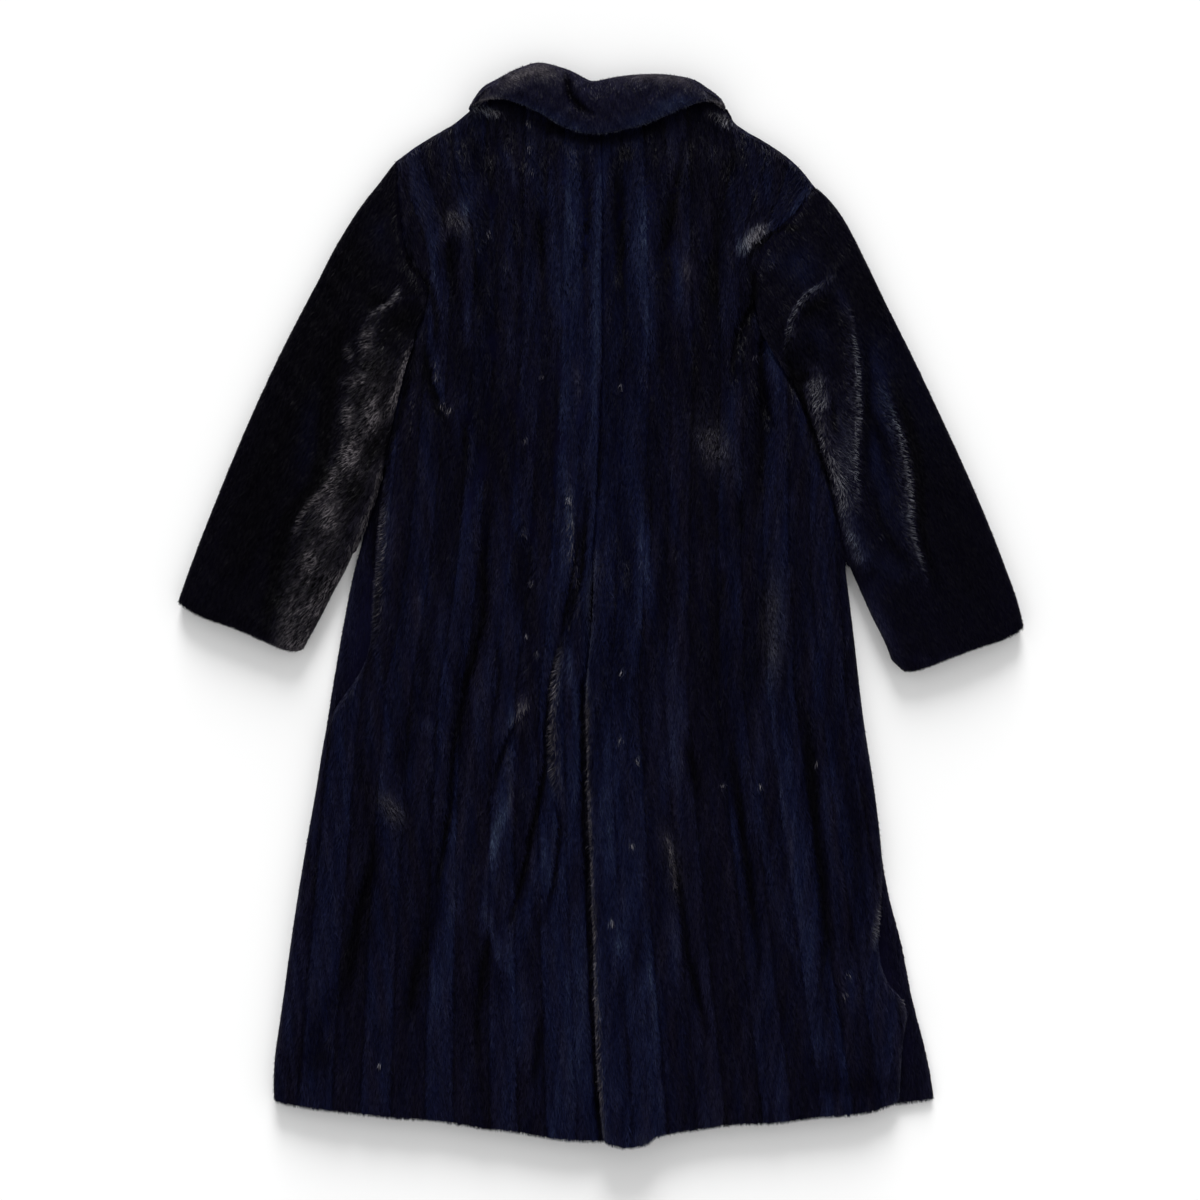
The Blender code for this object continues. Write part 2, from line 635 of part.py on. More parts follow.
def main():
    for old in list(bpy.data.objects):
        bpy.data.objects.remove(old)
    collection = bpy.data.collections.new("long_fur_coat")
    bpy.context.scene.collection.children.link(collection)
    coat = bpy.data.objects.new("coat", None)
    collection.objects.link(coat)
    body_fur = fur("night_blue_fur", NIGHT_FUR)
    collar_fur = fur("greyed_blue_fur", GREYED_FUR)
    pieces = (
        ("front_left", body_fur,
         front(LEFT_SIDE, ARMHOLE_LEFT, SHOULDER_LEFT, HEM_FRONT_LEFT, THROAT_OUTER_LEFT)),
        ("front_right", body_fur,
         front(RIGHT_SIDE, ARMHOLE_RIGHT, SHOULDER_RIGHT, HEM_FRONT_RIGHT[::-1],
               THROAT_OUTER_RIGHT)),
        ("back_left", body_fur, back_left()),
        ("back_right", body_fur, back_right()),
        ("sleeve_left", body_fur,
         sleeve(SLEEVE_OUTER_LEFT, LEFT_SIDE, SLEEVE_FREE_LEFT, ARMHOLE_LEFT, CUFF_LEFT,
                SLEEVE_FOLDS_LEFT)),
        ("sleeve_right", body_fur,
         sleeve(SLEEVE_OUTER_RIGHT, RIGHT_SIDE, SLEEVE_FREE_RIGHT, ARMHOLE_RIGHT, CUFF_RIGHT,
                SLEEVE_FOLDS_RIGHT)),
        ("collar", collar_fur, collar()),
        ("collar_front_left", collar_fur, collar_front(THROAT_OUTER_LEFT, THROAT_INNER_LEFT)),
        ("collar_front_right", collar_fur, collar_front(THROAT_OUTER_RIGHT, THROAT_INNER_RIGHT)),
    )
    meshes = [finish(name, mesh, material, collection, coat).data for name, material, mesh in pieces]
    corners = np.array([v.co for mesh in meshes for v in mesh.vertices])
    low, high = corners.min(axis=0), corners.max(axis=0)
    coat.location = (-(low[0] + high[0]) / 2.0, -(low[1] + high[1]) / 2.0, -low[2])


main()
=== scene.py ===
"""The looks of a long mink coat that lies face down: a fine shell on each solid, and the pile on it.

Tables are in millimetres in the part's frame, x to the right and y towards the collar. A line is
the x and y of one point after another, and what it does fades beside it over its half width. A lay
angle is in degrees from straight down the coat, positive towards the right, and a lift is in
degrees off the skin. Tone runs from 0, the blackest fur, over 0.4, midnight blue, to 1, fur painted
as though it caught the light; beside the fur's own colour it carries painted highlights and painted
shade. Blue and grey, from 0 to 1, are how far the fur takes that tint, grey being painted sheen for
the most part. The tables of lines have tones, blues and shares in hundredths, and add them to what
is there.
"""

import math

import bmesh
import bpy
import numpy as np
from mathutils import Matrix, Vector
from mathutils.bvhtree import BVHTree
from mathutils.kdtree import KDTree


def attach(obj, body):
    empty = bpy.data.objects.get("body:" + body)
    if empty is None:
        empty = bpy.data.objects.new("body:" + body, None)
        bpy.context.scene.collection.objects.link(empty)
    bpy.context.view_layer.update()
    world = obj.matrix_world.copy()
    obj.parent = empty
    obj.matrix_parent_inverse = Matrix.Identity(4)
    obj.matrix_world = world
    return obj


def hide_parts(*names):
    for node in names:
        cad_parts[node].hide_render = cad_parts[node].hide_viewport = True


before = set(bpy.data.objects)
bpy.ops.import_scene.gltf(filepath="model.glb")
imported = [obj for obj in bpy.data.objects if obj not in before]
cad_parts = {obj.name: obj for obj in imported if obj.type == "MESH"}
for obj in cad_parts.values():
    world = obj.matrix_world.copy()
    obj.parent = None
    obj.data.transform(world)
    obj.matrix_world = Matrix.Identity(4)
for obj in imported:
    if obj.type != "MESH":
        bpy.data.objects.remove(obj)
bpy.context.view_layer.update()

MM = 0.001
FULL_TONE = 1.25

# --- the let-out strips ---

# Where the back's two halves meet, from the hem to the neck, and a let-out strip's width there.
CENTRE_LINE = (  # y, x
    (-642, 2), (-443, -8), (-240, -16), (-94, -19), (-43, -13), (89, -7), (221, -1), (293, 2), (485, 2),
    (584, 0),
)
STRIP_WIDTH = ((-600, 37), (-200, 32), (65, 28.5), (424, 26.5), (600, 24))  # y, width
# The strips from the centre outwards: where each ends, in widths, its tone, blue and lay.
STRIPS_LEFT = (
    (0.8, 0.02, 0.2, -2), (1.8, 0.05, 0.3, 2), (2.7, -0.06, -0.1, -3), (3.6, 0.03, 0.1, 2),
    (4.8, -0.05, -0.2, -2), (5.7, 0.04, 0.2, 4), (6.8, -0.05, -0.1, -3), (7.8, 0.03, 0.1, 2),
    (8.7, -0.05, -0.2, -4), (9.8, 0.03, 0.2, 3), (10.8, -0.04, -0.1, -2), (13.0, 0.02, 0.0, 1),
)
STRIPS_RIGHT = (
    (1.0, 0.01, 0.3, 2), (2.1, 0.06, 0.3, -3), (3.1, -0.05, 0.0, 3), (4.0, 0.04, -0.1, -3),
    (5.2, -0.06, -0.2, 3), (6.2, 0.03, 0.1, -2), (7.1, -0.05, -0.1, 3), (8.2, 0.04, 0.2, -3),
    (9.1, -0.04, -0.1, 2), (10.2, 0.03, 0.1, -3), (11.1, -0.05, -0.1, 3), (13.0, 0.02, 0.0, -1),
)
STRIP_CONTRAST, STRIP_BLUE = 1.15, 1.3  # how strongly the strips' tones and blues are taken
FAN = 0.30  # by how much the strips widen over the shoulders
FAN_STARTS, FAN_RUN = 400.0, 170.0  # the y where that starts, and how far on it is full
FAN_CLEAR, FAN_SPREAD = 60.0, 140.0  # the same, out from the centre
PUFF, MEAN_PUFF = 0.9, 0.8  # how much a strip's pile rises between its seams, about its mean
SEAM_PUFF, SEAM_SHADE = 0.45, 0.15  # a strip less puffed up than this is a seam, and darker
SKIRT_TONE, SKIRT_STARTS, SKIRT_RUN = 0.045, -60.0, 250.0  # the skirt is a little lighter

# --- what shows on the fur ---

# The fur as it lies before the tables below: lift, tone, blue, grey and share of full length.
FURS = {
    "back": (11.0, 0.40, 0.45, 0.0, 1.0),
    "front": (11.0, 0.38, 0.25, 0.0, 1.0),
    "sleeve_left": (10.0, 0.21, 0.0, 0.05, 0.85),
    "sleeve_right": (10.0, 0.29, 0.2, 0.05, 0.85),
    "collar": (14.0, 0.50, 0.25, 0.08, 0.5),
}
WAVE_COUNT, WAVE_RATES = 14, (0.5, 1.6)  # how many waves, and how their rates vary
# Smooth unevenness: how much, its size across and down the coat, and its seed.
WAVES = {
    "back lay": ((5, 34, 160, 3), (5, 8, 30, 8)),
    "back lift": ((4, 30, 120, 6),),
    "back tone": ((0.04, 16, 130, 4), (0.04, 60, 300, 5), (0.025, 5, 40, 9)),
    "back blue": ((0.25, 30, 200, 10),),
    "back rise": ((0.5, 40, 110, 7),),
    "front lay": ((6, 34, 160, 31), (7, 8, 30, 34)),
    "front tone": ((0.05, 30, 260, 32), (0.03, 5, 40, 33)),
    "sleeve lay": ((4, 30, 150, 11), (3, 8, 30, 18)),
    "sleeve tone": ((0.02, 26, 400, 12), (0.01, 5, 60, 13)),
    "sleeve rise": ((0.3, 40, 60, 15),),
    "collar lay": ((12, 50, 40, 21), (10, 9, 12, 24)),
    "collar tone": ((0.05, 30, 20, 22), (0.04, 6, 20, 25)),
    "collar rise": ((0.4, 40, 30, 23),),
    "crumple lay": ((1, 26, 34, 41),),
    "crumple lift": ((1, 16, 20, 42),),
    "crumple tone": ((1, 13, 18, 43),),
}
COLLAR_LAY = 0.15  # how far the collar's pile turns for each millimetre from its middle, in degrees

# Fur that is lighter or darker than what is round it: tone, half width, the line, and blue if any.
# Some rows are the strips' own bands; lighter rows with less blue are painted sheen, and many darker
# rows are painted shade in folds and under the collar.
BACK_STROKES = (
    (-10, 5, (-280,-60, -286,-72, -303,-98, -326,-132)),
    (10, 8, (-48,540, -42,475, -47,394, -49,337, -48,264, -43,182, -38,102, -47,20, -52,-12), 25),
    (12, 6, (-1,548, -6,443, -5,337, -8,150, -16,37, -22,-44), 25),
    (12, 11, (-116,499, -109,402, -107,329, -109,256), 25),
    (14, 7, (-186,557, -163,467, -160,361, -157,305, -166,182), 25),
    (14, 7, (-230,532, -206,443, -198,378, -204,329, -198,281, -178,223), 25),
    (12, 12, (-121,150, -119,77, -131,-44, -145,-142, -154,-206, -169,-271, -174,-336, -186,-418, -202,-508),
     25),
    (11, 12, (-194,44, -190,-12, -206,-126, -215,-174, -241,-256), 25),
    (11, 10, (-251,102, -254,20, -263,-94, -271,-206), 25),
    (17, 10, (-113,-109, -109,-206, -125,-271, -142,-370, -116,-426), 25),
    (12, 11, (-92,-442, -97,-499, -101,-572), 25),
    (11, 13, (-72,-271, -72,-343), 25),
    (11, 11, (22,-353, 24,-426), 25),
    (12, 7, (58,-402, 66,-475, 67,-556), 25),
    (11, 11, (74,-44, 90,-109, 91,-174, 78,-239), 25),
    (12, 10, (46,134, 58,37, 54,-61), 25),
    (12, 14, (49,499, 46,426, 54,346, 58,280), 25),
    (12, 13, (102,484, 98,378, 107,329), 25),
    (7, 11, (232,126, 208,37, 204,-20, 208,-85, 199,-109), 25),
    (12, 7, (187,-118, 192,-174, 187,-239, 199,-304, 220,-385, 245,-450), 25),
    (12, 10, (212,-109, 220,-174, 236,-271, 252,-370, 252,-450), 25),
    (11, 11, (245,12, 260,-94, 269,-206, 284,-312, 293,-370), 25),
    (11, 11, (301,-426, 305,-482), 25),
    (12, 11, (264,-511, 264,-535), 25),
    (-19, 8, (22,532, 24,443, 29,329)),
    (-15, 8, (-72,491, -77,418)),
    (-17, 11, (-137,523, -142,443, -137,361, -133,240, -137,150)),
    (-17, 7, (-178,458, -178,394, -169,361)),
    (-15, 8, (82,499, 78,443, 74,394)),
    (-17, 10, (146,499, 139,402, 131,337)),
    (-17, 10, (196,296, 196,215, 187,118)),
    (-12, 8, (163,320, 160,264)),
    (-12, 10, (34,85, 37,-12)),
    (-14, 11, (146,118, 139,-12, 146,-77, 155,-174, 172,-288, 187,-370)),
    (-10, 11, (98,-271, 107,-370, 114,-467)),
    (-14, 8, (245,-94, 252,-206, 260,-288)),
    (-15, 11, (284,-126, 310,-288, 317,-409)),
    (-22, 10, (-275,85, -283,-12, -287,-77)),
    (-15, 11, (-222,-109, -247,-206)),
    (-17, 11, (-186,-256, -202,-370, -230,-475)),
    (-14, 12, (-271,-288, -292,-409, -340,-515)),
    (-14, 10, (-162,-61, -178,-174)),
    (-14, 11, (-96,102, -92,-12)),
    (-15, 10, (-142,-434, -157,-491)),
    (-15, 10, (34,-370, 46,-450)),
    (12, 10, (-41,546, -36,483, -34,439, -34,368, -30,315), 60),
    (16, 5, (1,555, -1,506, -2,439, -3,368, -7,306, -7,239), 50),
    (18, 9, (-30,297, -24,239), -40),
    (2, 20, (15,226, 24,172, 33,106, 28,39, 26,-5, 16,-43, 16,-100), 70),
    (10, 4, (-39,146, -35,106, -32,61, -28,26, -28,-5), -40),
    (14, 7, (59,106, 53,39, 48,-14), 50),
    (14, 8, (41,519, 53,470, 59,395, 59,306), 50),
    (18, 12, (99,421, 113,386), -30),
    (6, 7, (224,106, 210,48, 206,-5)),
    (20, 8, (137,75, 148,43)),
    (22, 7, (-167,488, -159,470), 20),
    (24, 10, (-176,461, -194,441), -20),
    (26, 4, (259,510, 241,488, 224,463), 60),
    (18, 6, (-119,555, -107,528, -101,501), 50),
    (18, 5, (-59,537, -59,470), 50),
    (14, 4, (-101,119, -97,83), 100),
    (14, 8, (-163,368, -159,306)),
    (14, 8, (-230,279, -239,217, -247,172), 10),
    (20, 6, (-219,26, -219,-5, -216,-41), -20),
    (14, 7, (206,350, 201,306, 213,261), 30),
    (28, 9, (-88,-101, -97,-130, -109,-151), -30),
    (20, 5, (-103,-206, -109,-235, -124,-264, -128,-293, -133,-312)),
    (20, 7, (-140,-350, -131,-389, -121,-422, -114,-437)),
    (10, 4, (78,-264, 84,-302, 90,-341, 92,-362), -20),
    (10, 8, (212,-14, 209,-53, 204,-91, 202,-139, 208,-187, 212,-226, 222,-264, 227,-302, 236,-360, 251,-427),
     10),
    (16, 9, (21,-389, 25,-422), 20),
    (14, 9, (52,-418, 59,-466), 10),
    (20, 8, (-215,-134, -205,-149), 20),
    (12, 7, (-30,-90, -28,-150, -26,-230), 80),
    (14, 9, (8,-110, 10,-200, 10,-280, 12,-350), 80),
    # painted shadow under the collar's edge
    (-16, 5, (-100,588, -77,582, -40,566, -6,560, 40,567, 75,579, 99,590), -20),
    (-7, 12, (47,437, 41,329, 32,221, 25,101, 23,5, 25,-67, 32,-187)),
    (-10, 15, (95,365, 107,269, 113,209)),
    (-12, 8, (143,377, 145,269)),
    (-10, 14, (-175,353, -157,293, -148,221, -145,125)),
    (-12, 9, (-197,221, -196,161)),
    (-15, 8, (-95,245, -95,161)),
    (-10, 10, (204,60, 208,-30, 215,-115, 245,-331, 253,-391)),
    (8, 7, (-61,497, -55,413, -49,305, -49,197), 20),
    (9, 8, (-64,161, -67,53, -73,-43)),
    (9, 8, (-16,125, -13,5)),
    (13, 7, (-37,-43, -35,-103)),
    (11, 9, (-125,-43, -127,-91, -133,-163)),
    (11, 8, (-82,-187, -76,-223, -85,-307)),
    (12, 9, (-35,-199, -29,-307), 20),
    (9, 20, (-31,-379, -25,-475, -13,-583, -13,-619), 20),
    (8, 10, (-157,-415, -157,-511)),
    (11, 8, (-85,-559, -85,-607)),
    (13, 11, (85,-343, 92,-391, 101,-445)),
    (9, 9, (62,-19, 65,-115, 71,-223)),
    (9, 8, (125,77, 122,-19)),
    (11, 9, (-247,125, -251,53)),
    (8, 10, (155,-235, 167,-295)),
    (-12, 8, (-121,-355, -125,-415, -115,-475)),
    (-12, 8, (187,-403, 191,-463, 203,-523)),
    (-10, 9, (269,-451, 263,-487)),
    (-12, 12, (263,-577, 299,-571, 341,-577)),
    (-14, 13, (-355,-553, -325,-529)),
    (-10, 10, (-268,-487, -265,-571)),
    (10, 9, (-361,-379, -373,-475, -382,-535), 20),
    (13, 7, (365,-475, 359,-523)),
    (11, 8, (333,-320, 338,-355)),
    (7, 9, (308,-91, 320,-223)),
    (12, 12, (197,527, 200,473), 30),
    (11, 8, (125,485, 131,413)),
    (15, 11, (185,365, 203,329, 215,293), 30),
    (15, 6, (229,141, 229,121)),
    (10, 8, (137,180, 137,155)),
    (-16, 10, (-157,569, -148,521)),
    (-12, 9, (173,557, 152,515)),
    (-14, 8, (29,553, 29,535)),
    (-8, 8, (107,545, 98,401)),
    (12, 8, (-259,515, -241,545)),
    (10, 9, (-70,-300, -92,-370, -104,-440, -104,-520), 60),
    (-5, 26, (12,365, 12,215)),
    (-5, 22, (-175,345, -170,250)),
    (-4, 30, (110,320, 120,190)),
    (-8, 8, (85,65, 85,-25)),
    (-10, 8, (25,-15, 26,-120)),
    (-10, 8, (118,-475, 126,-590)),
    (-6, 8, (155,-20, 160,-115)),
    (-6, 9, (272,-45, 276,-210)),
    (-7, 8, (-235,30, -238,-140)),
    (-8, 8, (-127,-355, -125,-490)),
    (-6, 9, (-192,-330, -194,-475)),
    (-10, 14, (-345,-480, -330,-570)),
    (-12, 12, (275,-545, 270,-590)),
    (-12, 9, (346,-560, 350,-590)),
    (-12, 9, (-257,-225, -258,-260)),
    (-10, 9, (105,-300, 112,-330)),
    (8, 18, (-85,-20, -60,-110), 10),
    (8, 8, (-160,-60, -152,-120)),
    (12, 8, (-78,-165, -72,-220)),
    (10, 10, (-38,-45, -36,-115), 10),
    (8, 9, (-88,-450, -84,-570)),
    (7, 12, (-150,-455, -145,-510)),
    (10, 14, (85,-360, 95,-470)),
    (5, 30, (-15,-360, -10,-620)),
    (6, 16, (70,-110, 100,-240)),
    (14, 8, (20,-641, 70,-640, 115,-630), -20),
    (5, 20, (150,-240, 180,-330)),
    (10, 8, (222,-430, 222,-475)),
    (10, 10, (-360,-335, -362,-375)),
    (8, 14, (-252,155, -256,60)),
    (6, 8, (-204,50, -204,0)),
    (8, 12, (-262,520, -240,495)),
    (10, 8, (-205,510, -200,480)),
    (8, 10, (-240,440, -225,415)),
    (8, 9, (-157,440, -135,400)),
    (10, 8, (-61,497, -55,413, -50,340), 20),
    (12, 7, (234,262, 246,215, 258,150), 30),
    (20, 6, (-66,567, -40,561)),
    # painted shadow under the collar, in this row and the next two
    (-24, 9, (29,553, 29,535)),
    (-12, 9, (-150,565, -140,510)),
    (-15, 9, (168,560, 150,510)),
)
# A lighter band at the front's edge, and a painted shadow where the back's side lies over it.
FRONT_STROKES = (
    (10, 16, (-296,110, -300,40, -308,-40, -322,-110), 30),
    (-30, 6, (-268,150, -271,60, -276,-20, -284,-80)),
)
# On the sleeves, darker rows are painted shade: the outer half, turned from the light, and the shadows along
# folds. Lighter rows are painted highlights, some of them bluer.
SLEEVE_STROKES_LEFT = (
    (-16, 34, (-275,467, -307,401, -337,329, -367,245, -397,161, -421,77, -439,5)),
    (-36, 8, (-313,335, -317,293, -324,263, -329,221, -332,179, -336,149, -352,132, -366,115, -377,95,
     -384,67, -391,35, -396,-1, -400,-37)),
    (-30, 12, (-292,146, -290,122)),
    (-26, 11, (-262,202, -276,176)),
    (-28, 16, (-251,331, -232,343, -212,343), 20),
    (-14, 6, (-289,253, -280,244)),
    (-18, 10, (-265,372, -265,358)),
    (-22, 10, (-271,293, -268,263)),
    (-20, 7, (-331,161, -355,119, -370,89)),
    (-18, 9, (-379,17, -385,-5)),
    (-18, 8, (-340,24, -340,8)),
    (20, 12, (-259,173, -277,131, -292,101)),
    (22, 8, (-460,-28, -415,-43, -365,-55)),
    (20, 7, (-260,185, -268,110)),
    (12, 10, (-310,125, -340,115)),
    (18, 8, (-292,108, -283,92)),
    (12, 9, (-405,60, -400,25)),
    (-22, 9, (-278,374, -262,362)),
    (-12, 9, (-288,415, -285,390)),
    (-12, 9, (-272,290, -268,270)),
    (-22, 7, (-332,165, -330,148)),
    (-20, 14, (-345,35, -330,15)),
    (-4, 40, (-400,200, -440,80)),
    (10, 12, (-346,255, -350,200, -358,150), 90),
    (10, 16, (-272,472, -262,440, -250,410), 50),
    (10, 6, (-268,443, -260,463, -247,468)),
    (20, 3, (-227,410, -215,396, -205,379)),
    (20, 3, (-238,370, -220,371, -203,361)),
)
# The same on the right sleeve: painted shade and painted highlights.
SLEEVE_STROKES_RIGHT = (
    (-14, 34, (293,425, 335,329, 377,221, 413,125, 443,41, 461,-19)),
    (-34, 7, (239,343, 253,359, 275,367)),
    (-24, 14, (245,308, 263,311)),
    (18, 9, (285,385, 293,353), 30),
    (10, 16, (337,335, 345,269), 60),
    (12, 8, (323,203, 326,150), 40),
    (12, 16, (330,60, 345,45, 368,38), 50),
    (14, 10, (310,25, 330,-15, 350,-55), 20),
    (12, 8, (360,-62, 400,-68, 440,-55)),
    (14, 16, (248,335, 270,300), 50),
    (22, 7, (282,88, 290,48), 20),
    (13, 9, (318,35, 345,-30, 360,-65), 10),
    (7, 20, (360,320, 400,180), 40),
    (8, 9, (358,112, 362,88), 20),
    (-45, 9, (242,283, 247,266)),
    (-34, 3, (277,254, 280,206)),
    (-26, 5, (318,343, 318,305, 319,245, 318,197, 320,149), 20),
    (-28, 5, (320,239, 331,215, 341,188, 344,161)),
    (-22, 4, (326,149, 334,101, 352,71, 371,50)),
    (-30, 6, (350,263, 361,242, 370,215, 377,185, 382,155, 383,125, 383,98, 389,71, 396,53, 402,29)),
    (-24, 10, (323,46, 325,36)),
    (10, 14, (317,329, 335,269, 341,221), 50),
    (14, 13, (287,245, 287,190, 294,130, 312,70, 330,25), 80),
    (12, 16, (320,335, 329,270, 336,200, 340,130, 352,80), 80),
    (12, 22, (222,432, 240,405, 262,395), 90),
    (12, 10, (197,419, 209,410), 50),
)
# On the collar, painted light: along its top, at its ends, and a lit band on its right.
COLLAR_STROKES = (
    (16, 12, (-132,612, -105,632, -75,642, -50,636, -35,624), -30),
    (12, 8, (10,630, 50,636, 90,632, 120,618), -30),
    (12, 10, (10,570, 60,584, 95,600, 125,611), 80),
    (6, 10, (-120,606, -80,588, -40,568, 0,560), 50),
    (30, 9, (-150,596, -135,602, -112,598), -30),
    (32, 11, (122,602, 136,600, 150,590), -30),
    (12, 8, (60,596, 100,606), 30),
    (12, 7, (-28,616, -22,606)),
    (5, 10, (-120,604, -70,590, -30,572, 20,562), 40),
)
# Grooves where the skins buckle: depth, tone, half width, and the line. The tone is painted shade
# in the groove.
BACK_GROOVES = (
    (2.5, -32, 3.5, (-130,119, -136,97, -139,57, -138,0, -145,-38, -160,-91, -174,-154, -179,-202, -181,-245,
     -191,-302, -196,-331)),
    (1.6, -40, 2.5, (-26,90, -31,53, -37,20, -42,-7, -49,-48)),
    (2.4, -50, 3, (-49,-48, -57,-77, -62,-110, -64,-139, -65,-178, -68,-202, -76,-245, -85,-283, -95,-331,
     -109,-379)),
    (1.6, -28, 3, (-54,-235, -49,-264, -51,-293, -55,-326, -64,-360, -68,-379)),
    (2, -28, 4, (-90,-130, -107,-149, -116,-173, -124,-197, -127,-221)),
    (1.6, -26, 5, (88,-302, 97,-360, 104,-418, 121,-485, 131,-514)),
    (1.4, -22, 5, (162,-187, 169,-264, 179,-331, 188,-398, 191,-427)),
    (1.4, -22, 6, (246,-130, 253,-197, 258,-264, 265,-331, 270,-394, 265,-456)),
    (1.8, -26, 6, (-268,-264, -272,-302, -282,-341, -292,-379, -299,-418, -301,-456)),
    (1.2, -20, 6, (-215,-408, -224,-456, -232,-494)),
    (1.4, -24, 5, (-133,-389, -140,-427, -148,-494, -145,-538)),
    (1, -18, 4, (-73,-494, -78,-547, -85,-581)),
    (1, -20, 6, (102,-158, 109,-187, 114,-221)),
    (1, -18, 3, (-124,-43, -121,-82, -127,-120, -133,-154)),
    (1.6, -26, 4, (-23,537, -17,501, -16,470, -19,439, -20,408)),
    (1.8, -26, 5, (17,537, 21,483, 24,430, 26,395)),
    (1.2, -20, 4, (-74,470, -72,439, -69,403)),
    (1.6, -24, 5, (99,559, 90,501, 81,439, 77,403)),
    (1.2, -22, 5, (-185,439, -181,395)),
    (2, -30, 5, (195,332, 193,279, 197,239, 208,217)),
    (2, -30, 4, (206,399, 188,368, 166,332, 159,292, 161,275)),
    (2, -30, 5, (-210,310, -205,270, -194,235, -185,217)),
    (0.8, -22, 1.8, (-51,332, -53,243, -54,181, -56,106)),
    (1.8, -32, 3.5, (-16,128, -19,92, -23,39, -32,3, -39,-23)),
    (1, -20, 6, (135,421, 133,395, 135,368)),
    (0.8, -18, 3, (-152,430, -147,386, -145,350)),
    (0.8, -18, 3, (-101,368, -96,315)),
    (0.8, -22, 1.8, (1,217, -1,172, -2,132)),
    (0.8, -20, 3, (-163,226, -163,181, -165,141)),
    (0.8, -16, 4, (75,341, 73,279)),
    (0.8, -18, 2, (59,155, 61,92, 59,39)),
    (1, -18, 4, (166,132, 168,92)),
)
COLLAR_GROOVES = (
    (4, -30, 5, (-42,640, -37,613, -24,596, -12,590)),
)
# Seams that show as furrows, painted dark with their shade: tone, half width, and the line.
SEAM_GROOVES = (
    (-50, 2.8, (-22,-90, -22,-167, -20,-250, -16,-330, -12,-443, -7,-552, -1,-640)),
    (-45, 3, (179,418, 182,430, 193,439, 206,448, 222,454, 240,454)),
    (-30, 4, (180,410, 184,386, 182,362, 174,341)),
    (-34, 4, (227,319, 223,299, 229,278, 239,259, 245,242, 253,215, 265,179, 277,143, 284,113)),
    (-24, 4, (-232,443, -229,410, -212,395, -202,377, -197,350, -198,329, -200,305)),
    (-28, 4, (-224,311, -230,275, -241,230, -252,197, -257,167, -259,134)),
    (-45, 4, (-260,134, -268,110, -276,89, -286,70, -295,50)),
)
# Lines of single hairs with a painted glint: tone, the share of hairs that are lit, half width, and the line.
BACK_SPARKLE = (
    (50, 20, 4, (-223,263, -227,215, -232,191)),
    (40, 25, 4, (-202,299, -193,263)),
    (35, 30, 5, (-192,245, -185,228)),
    (30, 25, 3, (-14,-86, -14,-167, -12,-250, -9,-330, -5,-443, 0,-552, 5,-634)),
    (40, 30, 3, (78,-264, 84,-302, 90,-341, 92,-362)),
    (42, 35, 6, (-43,-50, -50,-70, -54,-103, -58,-133, -55,-169, -54,-202, -49,-229)),
    (35, 25, 7, (-40,140, -36,89, -32,41, -29,10, -24,-38)),
    (35, 30, 7, (-85,-103, -95,-127, -107,-149)),
    (50, 20, 5, (-257,112, -259,80, -263,30, -266,-20, -268,-45)),
)
# Where single tufts get a painted glint.
BACK_TUFTS = (
    (-135, 447), (23, 263), (-94, 86), (-83, 28), (-90, -37), (-70, 275), (-38, 126), (166, 335),
    (186, 299), (-181, 235), (-190, 243), (-92, 199), (-87, 550), (-83, 521), (-78, -58), (25, -79),
    (23, -161), (44, -185), (37, -287), (13, -379), (258, -190), (191, -216), (145, -216), (-265, -552),
    (292, -468), (296, -444), (-88, 580),
)
# Where the pile lies another way, with a painted highlight: lay, lift, tone, half width, and the line.
BACK_COMB = (
    (18, 32, 90, 8, (170,430, 184,444, 200,458)),
    (-10, 26, 22, 18, (120,225, 136,190, 152,165)),
    (10, 24, 12, 13, (208,40, 204,-20, 208,-90)),
    (-50, 24, 9, 4, (-44,-40, -50,-65, -54,-90, -58,-125)),
    (-50, 24, 5, 3.5, (-58,-125, -59,-170, -56,-205, -52,-225)),
    (-35, 22, 12, 2.4, (-16,-80, -16,-167, -14,-250, -11,-330, -7,-443, -2,-552, 3,-640)),
    (20, 28, 20, 12, (-195,474, -175,462, -160,452)),
    (30, 26, 14, 12, (-270,-222, -250,-246, -235,-262)),
    (-65, 26, 5, 5, (-258,150, -260,103, -263,50, -268,-3, -270,-50)),
    (40, 28, 55, 6, (-158,597, -140,596, -118,590)),
    (-30, 28, 55, 6, (128,594, 142,588, 157,576)),
    (60, 26, 26, 4, (325,-409, 331,-380, 337,-353)),
    (60, 26, 26, 4, (358,-491, 364,-455, 370,-418)),
    (15, 24, 16, 10, (74,-264, 86,-301, 92,-350)),
)
SLEEVE_COMB_LEFT = (
    (-50, 22, 10, 30, (-259,317, -275,245, -289,185, -319,113, -347,53, -367,-7, -373,-100)),
    (-70, 35, 60, 4, (-240,385, -242,372, -251,361, -265,353, -276,348)),
    (-72, 28, 42, 9, (-272,341, -280,319, -277,298)),
    (-75, 28, 36, 5, (-302,314, -300,293)),
    (-70, 28, 34, 8, (-307,269, -289,269, -275,278)),
    (-32, 24, 50, 8, (-228,314, -233,287, -239,263, -246,245, -254,228)),
    (-55, 26, 38, 8, (-274,239, -268,212)),
    (-75, 28, 52, 7, (-302,245, -300,211)),
    (-70, 28, 58, 11, (-294,199, -300,179, -292,161)),
    (-65, 28, 42, 9, (-314,170, -322,143, -318,128)),
    (-50, 26, 38, 13, (-335,127, -325,107, -319,80)),
    (-45, 24, 24, 15, (-316,70, -335,25, -350,-12, -358,-90)),
    (-45, 24, 22, 12, (-262,300, -272,235, -284,190)),
    (-75, 30, 46, 5, (-329,142, -344,125, -358,107, -367,80)),
    (-60, 28, 46, 9, (-344,70, -352,38)),
    (-40, 24, 24, 15, (-370,23, -376,-22, -372,-90)),
    (-28, 22, 42, 10, (-258,163, -264,131, -276,107, -289,77, -302,47, -319,23, -340,-7)),
)
